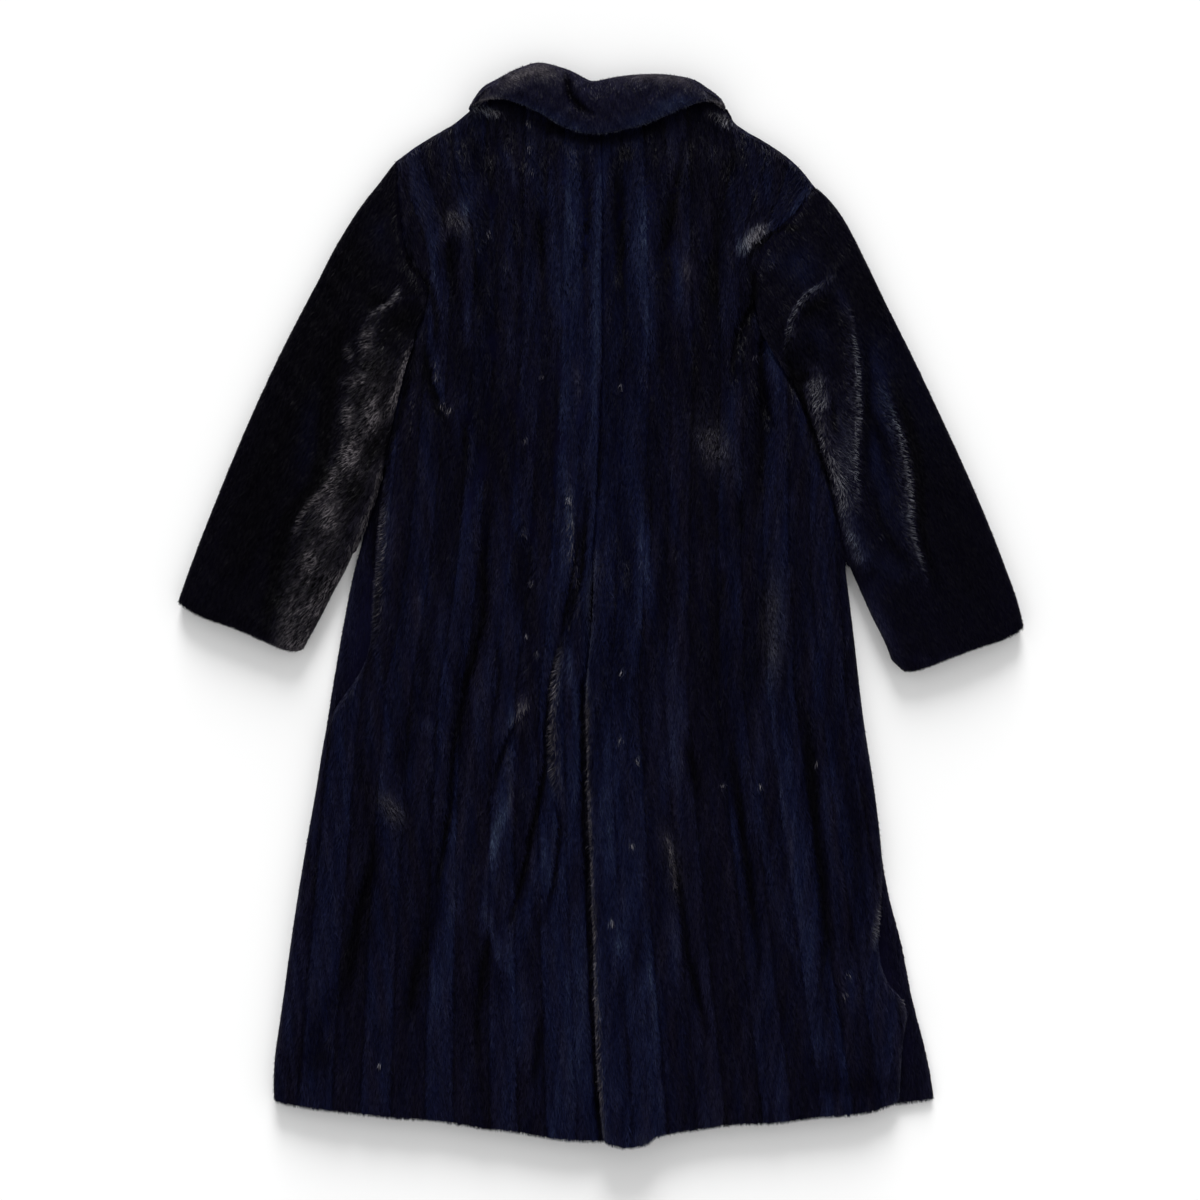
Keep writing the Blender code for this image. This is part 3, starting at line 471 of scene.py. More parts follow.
SLEEVE_COMB_RIGHT = (
    (-60, 34, 40, 5, (278,395, 265,384, 248,373, 238,359, 230,343, 226,323, 222,302)),
    (80, 30, 22, 8, (290,350, 297,317, 301,269, 302,221, 299,185, 301,149, 308,115)),
    (75, 18, 40, 2.2, (294,361, 300,339, 302,311, 306,280, 307,248, 307,227, 305,198, 303,170, 307,145,
     310,128)),
    (78, 30, 26, 8, (334,262, 343,233, 353,205, 358,180, 363,156, 366,128, 365,103, 371,75, 380,46)),
    (75, 18, 40, 2.2, (338,258, 347,234, 358,205, 362,181, 367,156, 370,128, 369,103, 375,75, 384,46,
     390,25)),
    (-35, 24, 46, 13, (256,284, 260,256, 266,228)),
    (-35, 24, 34, 9, (258,240, 268,191, 280,156, 291,121, 299,85)),
    (-25, 24, 22, 9, (299,95, 308,65, 320,47)),
    (50, 20, 10, 14, (290,240, 288,180, 296,125)),
)
COLLAR_COMB = (
    (60, 30, 26, 12, (-125,618, -105,632, -75,641, -48,632)),
    (-60, 30, 20, 9, (20,632, 60,634, 95,630, 122,616)),
    (80, 30, 36, 6, (-150,600, -138,598, -124,602)),
    (-80, 30, 36, 6, (150,596, 138,596, 128,592)),
)
# Where small buckles ruffle the fur: how far they turn its lay, lift and tone, half width, and line.
# The tone is painted sheen.
SLEEVE_CRUMPLE_LEFT = (
    (35, 12, 16, 30, (-262,335, -272,280, -278,215, -290,160, -322,110, -340,60, -352,10, -362,-40)),
)
SLEEVE_CRUMPLE_RIGHT = (
    (18, 6, 6, 20, (262,255, 272,190, 288,130, 305,80)),
)
LINE_REACH = 3.0  # how many half widths from a line it still counts
LINE_END, END_SHARE, END_RUN = 0.35, 0.3, 60.0  # its strength at its ends, and how soon it is full
# how strongly the grooves' painted shade is taken
GROOVE_CONTRAST = 1.8
COMB_FADE, CRUMPLE_FADE = 1.2, 0.8  # how much blue combed fur loses for its grey painted sheen, and ruffled fur
LIT_SHARE, LIT, UNLIT = 0.40, 2.0, 0.45  # in combed fur some hairs get more of the painted highlight
CRUMPLE_LIGHT = 0.3  # ruffled fur is lighter with painted sheen, by this share of its tone on the whole
# tufts: their size, the tone of their painted glint, their lift, and the share of hairs lit
TUFT_WIDTH, TUFT_LENGTH, TUFT_TONE, TUFT_LIFT, TUFT_SHARE = 3.4, 4.0, 66, 20.0, 0.30
BRIGHT_GREY, BRIGHT_FADE = 0.6, 0.9  # hairs with a painted glint are grey, and lose most of their blue
SLEEVE_TURN = 0.42  # how far a sleeve points aside, in radians

# --- sizes of the shells and the pile ---

WELD = 0.02 * MM  # points nearer than this are one
# Corners that stay sharp: the tips of the shoulders and the ends of the neck, in metres.
SHARP_CORNERS = ((-0.246, 0.533), (0.257, 0.502), (-0.160, 0.590), (0.151, 0.590))
CORNER_REACH = 0.035  # how far out a corner counts, in metres
SHELL_DRAW = 3.2 * MM  # how far a shell's top is drawn in, for the pile to reach the solid's own top
TOP_STARTS, TOP_RUN = -0.1, 0.8  # the normal's z where the top starts, and how far on it is full
RIM_DRAW = 0.8 * MM  # how far a rim is drawn in
RIM_TILT = 0.6  # where the normal's level part is longer than this is a rim
EDGE_TILT = 0.95  # and where it is longer than this is the rim's outermost line
UNDERSIDE = -0.5  # a normal's z below this is on the underside, which isn't drawn in
SEAM_REACH = 4.5 * MM  # walls nearer than this face each other across a seam, and are closed up
SEAM_LAP = 0.2 * MM  # how far past the seam's middle each wall reaches
SEAM_FLAT = 9.0  # how near a seam hairs lie flat over its furrow

EDGE_TONE, EDGE_GREY, EDGE_WIDTH = 0.23, 0.5, 5.0  # fur at a free edge is lighter and greyer
EDGE_FUZZ = 2.8  # how far hairs reach over a free edge
ROLL = 0.5  # how far a hair may be turned about its own length, in radians
STRAY = 2.5  # the most that a hair strays from the lay, in splays
FLATTEST, STEEPEST = 2.0, 65.0  # the least and the most that a hair is lifted
LENGTHS, WIDTHS = (0.75, 1.2), (0.7, 1.3)  # the range of hairs' lengths and widths, as shares
TOP_NORMAL = 0.6  # where a normal's z is more than this, hairs have their full length
SIDE_LENGTH = 0.4  # and on upright walls this share of it
OUTWARD_CUT = 0.45  # by how much hairs that point straight off the skin are shorter
SEEN_FROM, SEEN_RUN = -0.35, 0.3  # the normal's z where hairs start, and how far on they are full
RIM_NORMAL, RIM_RUN = 0.97, 0.05  # the normal's z where a rim starts, and how far on it is full
UNFURRED = 1.0  # no hairs grow lower than this above the surface
SHOWS_UNDER = 9.0  # how far in under the back's edge the fronts are furred
SHOWS_RUN = 4.0  # how far out from there their fur is full
DRAWN_RUN = 12.0  # and how far in from there they are drawn in no more
UNDERARM, FRONT_HEM = 310.0, -585.0  # the y where their side's fur ends, and their hem's starts
HEM_SHARE = 0.6  # how much of its hair a front has along its hem
BAND = 40  # how finely the back's side is followed

# --- the finishes' numbers ---

TONES = (  # tone, and the dyed fur's colour there, its lightest being painted highlight
    (0.00, (0.0005, 0.0002, 0.0015)),
    (0.30, (0.0018, 0.0013, 0.0051)),
    (0.45, (0.0044, 0.0037, 0.0115)),
    (0.60, (0.0096, 0.0085, 0.0215)),
    (0.80, (0.0245, 0.0225, 0.0365)),
    (1.00, (0.0660, 0.0625, 0.0740)),
    (1.25, (0.1700, 0.1680, 0.1850)),
)
BLUE = (0.72, 1.08, 1.55, 1.0)  # what the colour is multiplied by where the fur is fully blue
GREY_SATURATION = 0.42  # how much of its saturation fully grey fur keeps, its grey mostly painted sheen
GREY = (1.02, 0.93, 0.97, 1.0)  # and what its colour is multiplied by
ROOT_DEPTH, TIP_DEPTH = 0.35, 1.25  # how light a hair is at its root and tip, the darker root being painted shade deep in the pile
STREAKS = (900.0, 90.0, 300.0)  # how fine the skin's streaks are along x, y and z
STREAK_TONES = (-0.2, 0.1)  # what they add to its tone
STREAK_BUMP, STREAK_HEIGHT = 0.8, 0.001
SKIN_ROUGHNESS, SKIN_GLOSS = 0.6, 0.01

# --- plan fields ---


def ease(x):
    """From 0 to 1 with a soft start and end."""
    x = np.clip(x, 0.0, 1.0)
    return x * x * (3.0 - 2.0 * x)


def along(table, y):
    """A table's second column at these y."""
    return np.interp(y, *np.transpose(table))


def nearness(points, half_width, line):
    """1 on the line, fading over half a width beside it and towards both of its ends."""
    line = np.reshape(np.array(line, float), (-1, 2))
    margin = LINE_REACH * half_width
    near = np.all((points > line.min(axis=0) - margin) & (points < line.max(axis=0) + margin), axis=1)
    near = np.flatnonzero(near)
    spots = points[near]
    lengths = np.linalg.norm(np.diff(line, axis=0), axis=1)
    starts = np.concatenate([[0.0], np.cumsum(lengths)])
    nearest = np.full(len(spots), np.inf)
    run = np.zeros(len(spots))
    for a, b, length, start in zip(line, line[1:], lengths, starts):
        way = (b - a) / length
        t = np.clip((spots - a) @ way, 0.0, length)
        off = np.linalg.norm(spots - a - t[:, None] * way, axis=1)
        run = np.where(off < nearest, start + t, run)
        nearest = np.minimum(off, nearest)
    end = np.minimum(run, starts[-1] - run)
    fade = LINE_END + (1.0 - LINE_END) * ease(end / min(END_SHARE * starts[-1], END_RUN))
    result = np.zeros(len(points))
    result[near] = np.exp(-((nearest / half_width) ** 2)) * fade
    return result


def waves(points, across, length, seed):
    """Smooth unevenness of about -1 to 1, of this size across the coat and down it."""
    random = np.random.default_rng(seed)
    total = np.zeros(len(points))
    for _ in range(WAVE_COUNT):
        kx, ky = random.uniform(*WAVE_RATES, 2) * random.choice((-1, 1), 2) / (across, length)
        total += np.sin(2.0 * math.pi * (points[:, 0] * kx + points[:, 1] * ky + random.uniform()))
    return total / math.sqrt(WAVE_COUNT)


def uneven(points, what):
    """The unevenness that WAVES gives something at these points."""
    return sum(amount * waves(points, *values) for amount, *values in WAVES[what])


def strip_places(points):
    """Each point's place across the strips: widths from the centre, and the lay of the strips."""
    def place(x, y):
        off = x - along(CENTRE_LINE, y)
        fan = FAN * ease((y - FAN_STARTS) / FAN_RUN) * ease((np.abs(off) - FAN_CLEAR) / FAN_SPREAD)
        return off / along(STRIP_WIDTH, y) / (1.0 + fan)

    x, y = points.T
    here = place(x, y)
    across = place(x + 1.0, y) - here
    down = place(x, y - 1.0) - here
    return here, np.degrees(np.arctan(-down / across))


def strip_facts(place):
    """The tone, blue and lay of the strip at each place, and how far it is puffed up there."""
    tone, blue, lay, puff = (np.zeros(len(place)) for _ in range(4))
    for side, strips in ((-1, STRIPS_LEFT), (1, STRIPS_RIGHT)):
        start = 0.0
        for stop, own_tone, own_blue, own_lay in strips:
            share = (side * place - start) / (stop - start)
            inside = (share >= 0.0) & (share < 1.0)
            tone[inside] = STRIP_CONTRAST * own_tone
            blue[inside] = STRIP_BLUE * own_blue
            lay[inside] = own_lay
            puff[inside] = np.sqrt(np.clip(4.0 * share * (1.0 - share), 0.0, 1.0))[inside]
            start = stop
    return tone, blue, lay, puff


class Coat:
    """What the pile does at each point: its lay, lift, tone with painted light and shade in it, blue, grey
    and share of full length.
    """

    def __init__(self, points, lay, fur):
        self.points = points
        self.lay = lay.copy()
        self.lift, self.tone, self.blue, self.grey, self.length = (
            np.full(len(points), value) for value in FURS[fur])
        self.luck = np.random.default_rng(len(points)).uniform(size=len(points))

    def light(self, near, tone, grey, fade):
        """Paints a highlight on the fur near something: lighter and greyer, with blue taken out of it."""
        self.tone += tone / 100.0 * near
        self.grey += grey * near
        self.blue *= 1.0 - fade * near

    # Lighter and darker fur: the fur's own bands, painted sheen and painted shade.
    def stroke(self, rows):
        for tone, half_width, line, *blue in rows:
            near = nearness(self.points, half_width, line)
            self.tone += tone / 100.0 * near
            self.blue += sum(blue) / 100.0 * near

    # Painted shade in grooves and seam furrows.
    def groove(self, rows):
        for *_, tone, half_width, line in rows:
            near = nearness(self.points, half_width, line)
            self.tone += GROOVE_CONTRAST * (tone / 100.0) * near

    # Turns the pile, and paints a highlight on it.
    def comb(self, rows, grey, uneven_light=1.0):
        lit = 1.0 + uneven_light * (np.where(self.luck < LIT_SHARE, LIT, UNLIT) - 1.0)
        for lay, lift, tone, half_width, line in rows:
            near = nearness(self.points, half_width, line)
            self.lay += near * (lay - self.lay)
            self.lift += near * (lift - self.lift)
            self.light(near, tone * lit, grey, COMB_FADE * grey)

    # Ruffles the pile, and paints sheen on it.
    def crumple(self, rows, grey):
        lay_waves, lift_waves, tone_waves = (
            uneven(self.points, "crumple " + what) for what in ("lay", "lift", "tone"))
        for lay, lift, tone, half_width, line in rows:
            near = nearness(self.points, half_width, line)
            self.lay += lay * near * lay_waves
            self.lift += lift * near * lift_waves
            self.light(near, tone * (CRUMPLE_LIGHT + tone_waves), grey, CRUMPLE_FADE)

    # Paints glints on single hairs.
    def sparkle(self, rows):
        for tone, share, half_width, line in rows:
            near = nearness(self.points, half_width, line) * (self.luck < share / 100.0)
            self.light(near, tone, BRIGHT_GREY, BRIGHT_FADE)

    # Lifts tufts, and paints glints on them.
    def tuft(self, spots):
        for x, y in spots:
            near = nearness(self.points, TUFT_WIDTH, (x, y - TUFT_LENGTH, x + 1, y + TUFT_LENGTH))
            near *= self.luck < TUFT_SHARE
            self.lift += TUFT_LIFT * near
            self.light(near, TUFT_TONE, BRIGHT_GREY, BRIGHT_FADE)


def back_coat(points):
    place, lay = strip_places(points)
    own_tone, own_blue, own_lay, puff = strip_facts(place)
    coat = Coat(points, lay + own_lay + uneven(points, "back lay"), "back")
    coat.lift += uneven(points, "back lift")
    coat.tone += own_tone + uneven(points, "back tone") - SEAM_SHADE * (puff < SEAM_PUFF)
    coat.tone += SKIRT_TONE * ease((SKIRT_STARTS - points[:, 1]) / SKIRT_RUN)
    coat.blue += own_blue + uneven(points, "back blue")
    # From here the tone takes painted sheen, painted shade and painted highlights beside its own bands.
    coat.stroke(BACK_STROKES)
    coat.groove(BACK_GROOVES)
    coat.groove(SEAM_GROOVES)
    coat.comb(BACK_COMB, grey=0.5)
    coat.sparkle(BACK_SPARKLE)
    coat.tuft(BACK_TUFTS)
    return coat


def front_coat(points):
    coat = Coat(points, strip_places(points)[1] + uneven(points, "front lay"), "front")
    coat.tone += uneven(points, "front tone")
    # a lighter band, and painted shadow beside the back's side
    coat.stroke(FRONT_STROKES)
    return coat


def sleeve_coat(node, side, strokes, crumple, crumple_grey, comb, comb_grey):
    """What says how the pile lies on one sleeve."""
    turn = side * SLEEVE_TURN
    turned = np.array([[math.cos(turn), -math.sin(turn)], [math.sin(turn), math.cos(turn)]])

    def make_coat(points):
        run = points @ turned  # the same points, with y along the sleeve
        coat = Coat(points, math.degrees(turn) + uneven(run, "sleeve lay"), node)
        coat.tone += uneven(run, "sleeve tone")
        # painted shade and painted highlights, then painted shade in seams, painted sheen and highlights
        coat.stroke(strokes)
        coat.groove(SEAM_GROOVES)
        coat.crumple(crumple, crumple_grey)
        coat.comb(comb, comb_grey)
        return coat

    return make_coat


def collar_coat(points):
    coat = Coat(points, COLLAR_LAY * points[:, 0] + uneven(points, "collar lay"), "collar")
    coat.tone += uneven(points, "collar tone")
    # painted light, painted shade in its groove, and painted highlights
    coat.stroke(COLLAR_STROKES)
    coat.groove(COLLAR_GROOVES)
    coat.comb(COLLAR_COMB, grey=0.7, uneven_light=0.4)
    return coat


def sunk(rise, points, grooves):
    """A relief with the grooves sunk into it."""
    for depth, _, half_width, line in grooves:
        rise -= depth * nearness(points, half_width, line)
    return rise


def back_relief(points):
    puff = strip_facts(strip_places(points)[0])[3]
    return sunk(PUFF * (puff - MEAN_PUFF) + uneven(points, "back rise"), points, BACK_GROOVES)


def sleeve_relief(points):
    return uneven(points, "sleeve rise")


def collar_relief(points):
    return sunk(uneven(points, "collar rise"), points, COLLAR_GROOVES)


def hidden_relief(points):
    """A layer that the layer above hides carries no pile, so it isn't drawn in for it."""
    return np.full(len(points), SHELL_DRAW / MM)


def seen(normal):
    """How much hair a face carries by the way it looks: all that looks up or to the side."""
    return ease((normal[:, 2] - SEEN_FROM) / SEEN_RUN)


def all_over(place, normal):
    """Hairs on all that can be seen from above and from the sides."""
    return seen(normal) * (place[:, 2] > UNFURRED)


def at_rim(place, normal):
    """Hairs only on a layer's rim, because the layer above hides the rest."""
    return ease((RIM_NORMAL - normal[:, 2]) / RIM_RUN) * seen(normal)


def front_panel(side):
    """The relief and the cover of a front, which shows beyond the back's side."""
    back = read(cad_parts["back_right" if side > 0 else "back_left"].data.vertices, "co") / MM
    outline = []
    for row in range(-640, 600, BAND):
        band = back[(back[:, 1] >= row) & (back[:, 1] < row + BAND)]
        if len(band):
            outline.append(band[np.argmax(side * band[:, 0])])
    outline = np.array(outline)

    def beyond(place):
        """How far out past a line a little inside the back's side, in millimetres."""
        edge = np.interp(place[:, 1], outline[:, 1], side * outline[:, 0])
        return side * place[:, 0] - edge + SHOWS_UNDER

    def cover(place, normal):
        """Hairs on a front where it shows, and on its hem."""
        shows = ease(beyond(place) / SHOWS_RUN) * (place[:, 1] < UNDERARM)
        hem = HEM_SHARE * at_rim(place, normal) * (place[:, 1] < FRONT_HEM)
        return np.maximum(hem, shows * seen(normal))

    def relief(points):
        """A front is drawn in only where its pile shows."""
        return hidden_relief(points) * ease(-beyond(points) / DRAWN_RUN)

    return relief, cover


# --- shells ---


def read(items, what, width=3):
    """One property of a mesh's parts as an array."""
    values = np.zeros(len(items) * width, np.float32)
    items.foreach_get(what, values)
    return values.reshape(-1, width).astype(float)


def move_to(mesh, place):
    mesh.vertices.foreach_set("co", place.astype(np.float32).ravel())
    mesh.update()


def add(name, data):
    """A new object in the scene."""
    thing = bpy.data.objects.new(name, data)
    bpy.context.scene.collection.objects.link(thing)
    return thing


def attribute(mesh, name, values):
    layer = mesh.attributes.new(name, "FLOAT", "POINT")
    layer.data.foreach_set("value", np.ascontiguousarray(values, np.float32))


def dye_and_paint_light(mesh, tone, blue, grey, times=1):
    """What the finishes read at each vertex: the fur's own colour with painted light and shade in it, where
    each value is given several times over.
    """
    for name, values, most in (("tone", tone, FULL_TONE), ("blue", blue, 1.0), ("grey", grey, 1.0)):
        attribute(mesh, name, np.repeat(np.clip(values, 0.0, most) / most, times))


def evaluated(thing):
    """An object's mesh after its modifiers."""
    graph = bpy.context.evaluated_depsgraph_get()
    return bpy.data.meshes.new_from_object(thing.evaluated_get(graph))


def fine_mesh(node, levels):
    """A rounder and finer copy of a node's mesh."""
    mesh = bmesh.new()
    mesh.from_mesh(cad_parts[node].data)
    bmesh.ops.remove_doubles(mesh, verts=mesh.verts, dist=WELD)
    bmesh.ops.join_triangles(
        mesh, faces=mesh.faces, angle_face_threshold=0.9, angle_shape_threshold=1.0,
        cmp_seam=False, cmp_sharp=False, cmp_uvs=False, cmp_vcols=False, cmp_materials=False,
    )
    coarse = bpy.data.meshes.new(node + "_coarse")
    mesh.to_mesh(coarse)
    mesh.free()
    holder = add(node + "_coarse", coarse)
    finer = holder.modifiers.new("finer", "SUBSURF")
    finer.levels = finer.render_levels = levels
    fine = evaluated(holder)
    # Rounding pulls corners in. At the sharp ones, what each point lost is given back.
    move_to(coarse, read(coarse.vertices, "co") - read(fine.vertices, "co")[:len(coarse.vertices)])
    finer.subdivision_type = "SIMPLE"
    given = evaluated(holder)
    place = read(fine.vertices, "co")
    share = np.zeros(len(place))
    for corner in SHARP_CORNERS:
        share += np.exp(-(np.linalg.norm(place[:, :2] - corner, axis=1) / CORNER_REACH) ** 2)
    move_to(fine, place + np.minimum(share, 1.0)[:, None] * read(given.vertices, "co"))
    bpy.data.objects.remove(holder)
    fine.materials.clear()
    return fine


def closed_seams(node, place, normal):
    """How each vertex moves level, out to a neighbour or in at an edge, and which do which."""
    others = [thing.data for name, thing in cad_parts.items() if name != node]
    trees = [BVHTree.FromPolygons([v.co for v in mesh.vertices],
                                  [tuple(face.vertices) for face in mesh.polygons])
             for mesh in others]
    level = normal * (1.0, 1.0, 0.0)
    size = np.linalg.norm(level, axis=1)
    move = -RIM_DRAW * size * (normal[:, 2] > UNDERSIDE)
    free = size > EDGE_TILT
    closed = np.zeros(len(place), bool)
    for index in np.flatnonzero(size > RIM_TILT):
        way = Vector(level[index] / size[index])
        start = Vector(place[index])
        gaps = [tree.ray_cast(start, way, SEAM_REACH)[3] for tree in trees]
        gaps = [gap for gap in gaps if gap is not None]
        if gaps:
            move[index] = (min(gaps) / 2.0 + SEAM_LAP) * size[index]
            free[index] = False
            closed[index] = True
    return level / np.maximum(size, 1e-6)[:, None] * move[:, None], free, closed


def distance_to(spots, place):
    """How far each place is from the nearest of the spots, in millimetres."""
    tree = KDTree(len(spots))
    for index, spot in enumerate(spots):
        tree.insert(spot, index)
    tree.balance()
    return np.array([tree.find(spot)[2] or 0.0 for spot in place]) / MM


class Shell:
    """The cloth of one node: its finer form, a little smaller, for the pile to stand on."""

    def __init__(self, node, make_coat, relief, levels, cover, material):
        mesh = fine_mesh(node, levels)
        place = read(mesh.vertices, "co")
        normal = read(mesh.vertex_normals, "vector")
        coat = make_coat(place[:, :2] / MM)
        self.make_coat = make_coat
        self.relief = relief
        self.rise = relief(place[:, :2] / MM)
        self.cover = cover(place / MM, normal)
        move, free, closed = closed_seams(node, place, normal)
        place += move
        self.edge = distance_to(place[free], place)
        self.seam = distance_to(place[closed], place) if closed.any() else self.edge
        self.cover[closed] = 0.0
        place[:, 2] += ease((normal[:, 2] - TOP_STARTS) / TOP_RUN) * (self.rise * MM - SHELL_DRAW)
        place[:, 2] = np.maximum(place[:, 2], 0.0)
        move_to(mesh, place)
        dye_and_paint_light(mesh, coat.tone, coat.blue, coat.grey)
        mesh.materials.append(material)
        mesh.shade_smooth()
        self.piece = add("shell_" + node, mesh)


# --- the pile ---


def unit(vectors):
    return vectors / np.maximum(np.linalg.norm(vectors, axis=1), 1e-9)[:, None]


def dot(a, b):
    return (a * b).sum(axis=1)[:, None]


def scatter(shell, hairs, random):
    """Even random roots on a shell, which way is up there, and the shell's own values there."""
    mesh = shell.piece.data
    mesh.calc_loop_triangles()
    corners = read(mesh.loop_triangles, "vertices").astype(int)
    place = read(mesh.vertices, "co")
    a, b, c = (place[corners[:, i]] for i in range(3))
    weight = np.linalg.norm(np.cross(b - a, c - a), axis=1) / 2.0 * shell.cover[corners].mean(axis=1)
    count = int(hairs * weight.sum())
    chosen = corners[random.choice(len(weight), count, p=weight / weight.sum())]
    share = random.dirichlet((1.0, 1.0, 1.0), count)[:, :, None]
    root = (place[chosen] * share).sum(axis=1)
    up = unit((read(mesh.vertex_normals, "vector")[chosen] * share).sum(axis=1))
    values = (shell.rise, shell.edge, shell.seam)
    return root, up, *((value[chosen] * share[:, :, 0]).sum(axis=1) for value in values)


def blade_mesh(name, corners):
    """A mesh of loose triangles, from their corners."""
    mesh = bpy.data.meshes.new(name)
    count = len(corners)
    mesh.vertices.add(3 * count)
    mesh.vertices.foreach_set("co", corners.astype(np.float32).ravel())
    mesh.loops.add(3 * count)
    mesh.loops.foreach_set("vertex_index", np.arange(3 * count, dtype=np.int32))
    mesh.polygons.add(count)
    mesh.polygons.foreach_set("loop_start", np.arange(0, 3 * count, 3, dtype=np.int32))
    mesh.update(calc_edges=True)
    return mesh


def pile(name, shell, finish, seed, hairs, length, width, splay, uneven_lift, uneven_tone):
    """The hairs on a shell: flat pointed blades that lie as the coat says, in one mesh."""
    random = np.random.default_rng(seed)
    root, up, shell_rise, edge, seam = scatter(shell, hairs, random)
    count = len(root)
    plan = root[:, :2] / MM
    coat = shell.make_coat(plan)
    top = ease(up[:, 2] / TOP_NORMAL)
    root[:, 2] += top * (shell.relief(plan) - shell_rise) * MM
    slope = [shell.relief(plan + step) - shell.relief(plan - step) for step in ((1, 0), (0, 1))]
    leaning = up - (top * np.array([*slope, np.zeros(count)]) / 2.0).T
    leaning[:, :2] *= np.maximum(ease(seam / SEAM_FLAT), 1.0 - top)[:, None]
    leaning = unit(leaning)
    lay = np.radians(coat.lay) + splay * np.clip(random.normal(size=count), -STRAY, STRAY)
    flat = np.stack([np.sin(lay), -np.cos(lay), np.zeros(count)], axis=1)
    lift = coat.lift + uneven_lift * random.uniform(-1.0, 1.0, count)
    stand = np.tan(np.radians(np.clip(lift, FLATTEST, STEEPEST)))[:, None]
    # A hair never points into the skin, so that part of its lay is taken out.
    way = unit(flat + (stand - np.minimum(dot(flat, leaning), 0.0)) * leaning)
    reach = length * coat.length * MM * random.uniform(*LENGTHS, count)
    reach *= SIDE_LENGTH + (1.0 - SIDE_LENGTH) * top
    reach *= 1.0 - OUTWARD_CUT * np.clip(dot(flat, up)[:, 0], 0.0, 1.0)
    reach = np.minimum(reach, (edge + EDGE_FUZZ) * MM)
    side = unit(np.cross(way, leaning))
    roll = random.uniform(-ROLL, ROLL, count)[:, None]
    side = side * np.cos(roll) + np.cross(way, side) * np.sin(roll)
    side *= (width * MM / 2.0 * random.uniform(*WIDTHS, count) * np.sqrt(coat.length))[:, None]
    corners = np.stack([root - side, root + side, root + way * reach[:, None]], axis=1)
    corners[:, :, 2] = np.maximum(corners[:, :, 2], 0.0)
    rim = np.exp(-((edge / EDGE_WIDTH) ** 2))
    tone = coat.tone + EDGE_TONE * rim
    tone *= 1.0 + uneven_tone * random.uniform(-1.0, 1.0, count)
    mesh = blade_mesh(name, corners)
    dye_and_paint_light(mesh, tone, coat.blue, coat.grey + EDGE_GREY * rim, times=3)
    attribute(mesh, "tip", np.tile((0.0, 0.0, 1.0), count))
    mesh.materials.append(finish)
    return add(name, mesh)


# --- finishes ---


def put(tree, kind, sockets=(), **settings):
    """Adds a node, sets it, and sets or links its inputs. Returns its live outputs."""
    node = tree.nodes.new(kind)
    for name, value in settings.items():
        setattr(node, name, value)
    for key, value in dict(sockets).items():
        live = [socket for socket in node.inputs if socket.enabled]
        socket = live[key] if isinstance(key, int) else next(s for s in live if s.name == key)
        if isinstance(value, bpy.types.NodeSocket):
            tree.links.new(value, socket)
        else:
            socket.default_value = value
    outputs = [socket for socket in node.outputs if socket.enabled]
    return outputs[0] if len(outputs) == 1 else outputs


def own(tree, name):
    """What the mesh itself says at each point, as a number."""
    return put(tree, "ShaderNodeAttribute", attribute_name=name)[2]


def new_material(name):
    material = bpy.data.materials.new(name)
    material.use_nodes = True
    material.node_tree.nodes.clear()
    return material, material.node_tree


def fur_colour(tree, tone):
    """The dye's colour for a tone, with the painted light and shade in the tone, bluer and greyer where the
    mesh says.
    """
    ramp = tree.nodes.new("ShaderNodeValToRGB")
    points = ramp.color_ramp.elements
    while len(points) < len(TONES):
        points.new(0.5)
    for point, (place, colour) in zip(points, TONES):
        point.position = place / FULL_TONE
        point.color = (*colour, 1.0)
    tree.links.new(tone, ramp.inputs[0])
    grey = own(tree, "grey")
    multiply = {"data_type": "RGBA", "blend_type": "MULTIPLY"}
    dyed = put(tree, "ShaderNodeMix", {"Factor": own(tree, "blue"), "A": ramp.outputs[0], "B": BLUE},
               **multiply)
    kept = put(tree, "ShaderNodeMapRange", {"Value": grey, "To Min": 1.0, "To Max": GREY_SATURATION})
    faded = put(tree, "ShaderNodeHueSaturation", {"Saturation": kept, "Color": dyed})
    return put(tree, "ShaderNodeMix", {"Factor": grey, "A": faded, "B": GREY}, **multiply)


def surface(tree, **sockets):
    """The shader, whose inputs are named with _ for a space."""
    named = {name.replace("_", " "): value for name, value in sockets.items()}
    shader = put(tree, "ShaderNodeBsdfPrincipled", named)
    put(tree, "ShaderNodeOutputMaterial", {"Surface": shader})


def hair_finish(name, roughness, gloss):
    """Dyed mink, painted darker at the root as shade deep in the pile, with the tone of the place it grows
    in.
    """
    material, tree = new_material(name)
    depth = put(tree, "ShaderNodeMapRange",
                {"Value": own(tree, "tip"), "To Min": ROOT_DEPTH, "To Max": TIP_DEPTH})
    colour = put(tree, "ShaderNodeVectorMath", {0: fur_colour(tree, own(tree, "tone")), "Scale": depth},
                 operation="SCALE")
    surface(tree, Base_Color=colour, Roughness=roughness, Specular_IOR_Level=gloss)
    return material


def skin_finish(name):
    """The underfur between the hairs, and the fur where it is pressed flat."""
    material, tree = new_material(name)
    place = put(tree, "ShaderNodeTexCoord")[3]
    streaks = put(tree, "ShaderNodeMapping", {"Vector": place, "Scale": STREAKS})
    noise = put(tree, "ShaderNodeTexNoise", {"Vector": streaks, "Scale": 1.0, "Detail": 3.0})[0]
    lighter = put(tree, "ShaderNodeMapRange",
                  {"Value": noise, "To Min": STREAK_TONES[0], "To Max": STREAK_TONES[1]})
    tone = put(tree, "ShaderNodeMath", {0: own(tree, "tone"), 1: lighter}, operation="ADD")
    bump = put(tree, "ShaderNodeBump",
               {"Height": noise, "Strength": STREAK_BUMP, "Distance": STREAK_HEIGHT})
    surface(tree, Base_Color=fur_colour(tree, tone), Roughness=SKIN_ROUGHNESS,
            Specular_IOR_Level=SKIN_GLOSS, Normal=bump)
    return material


# --- the coat ---

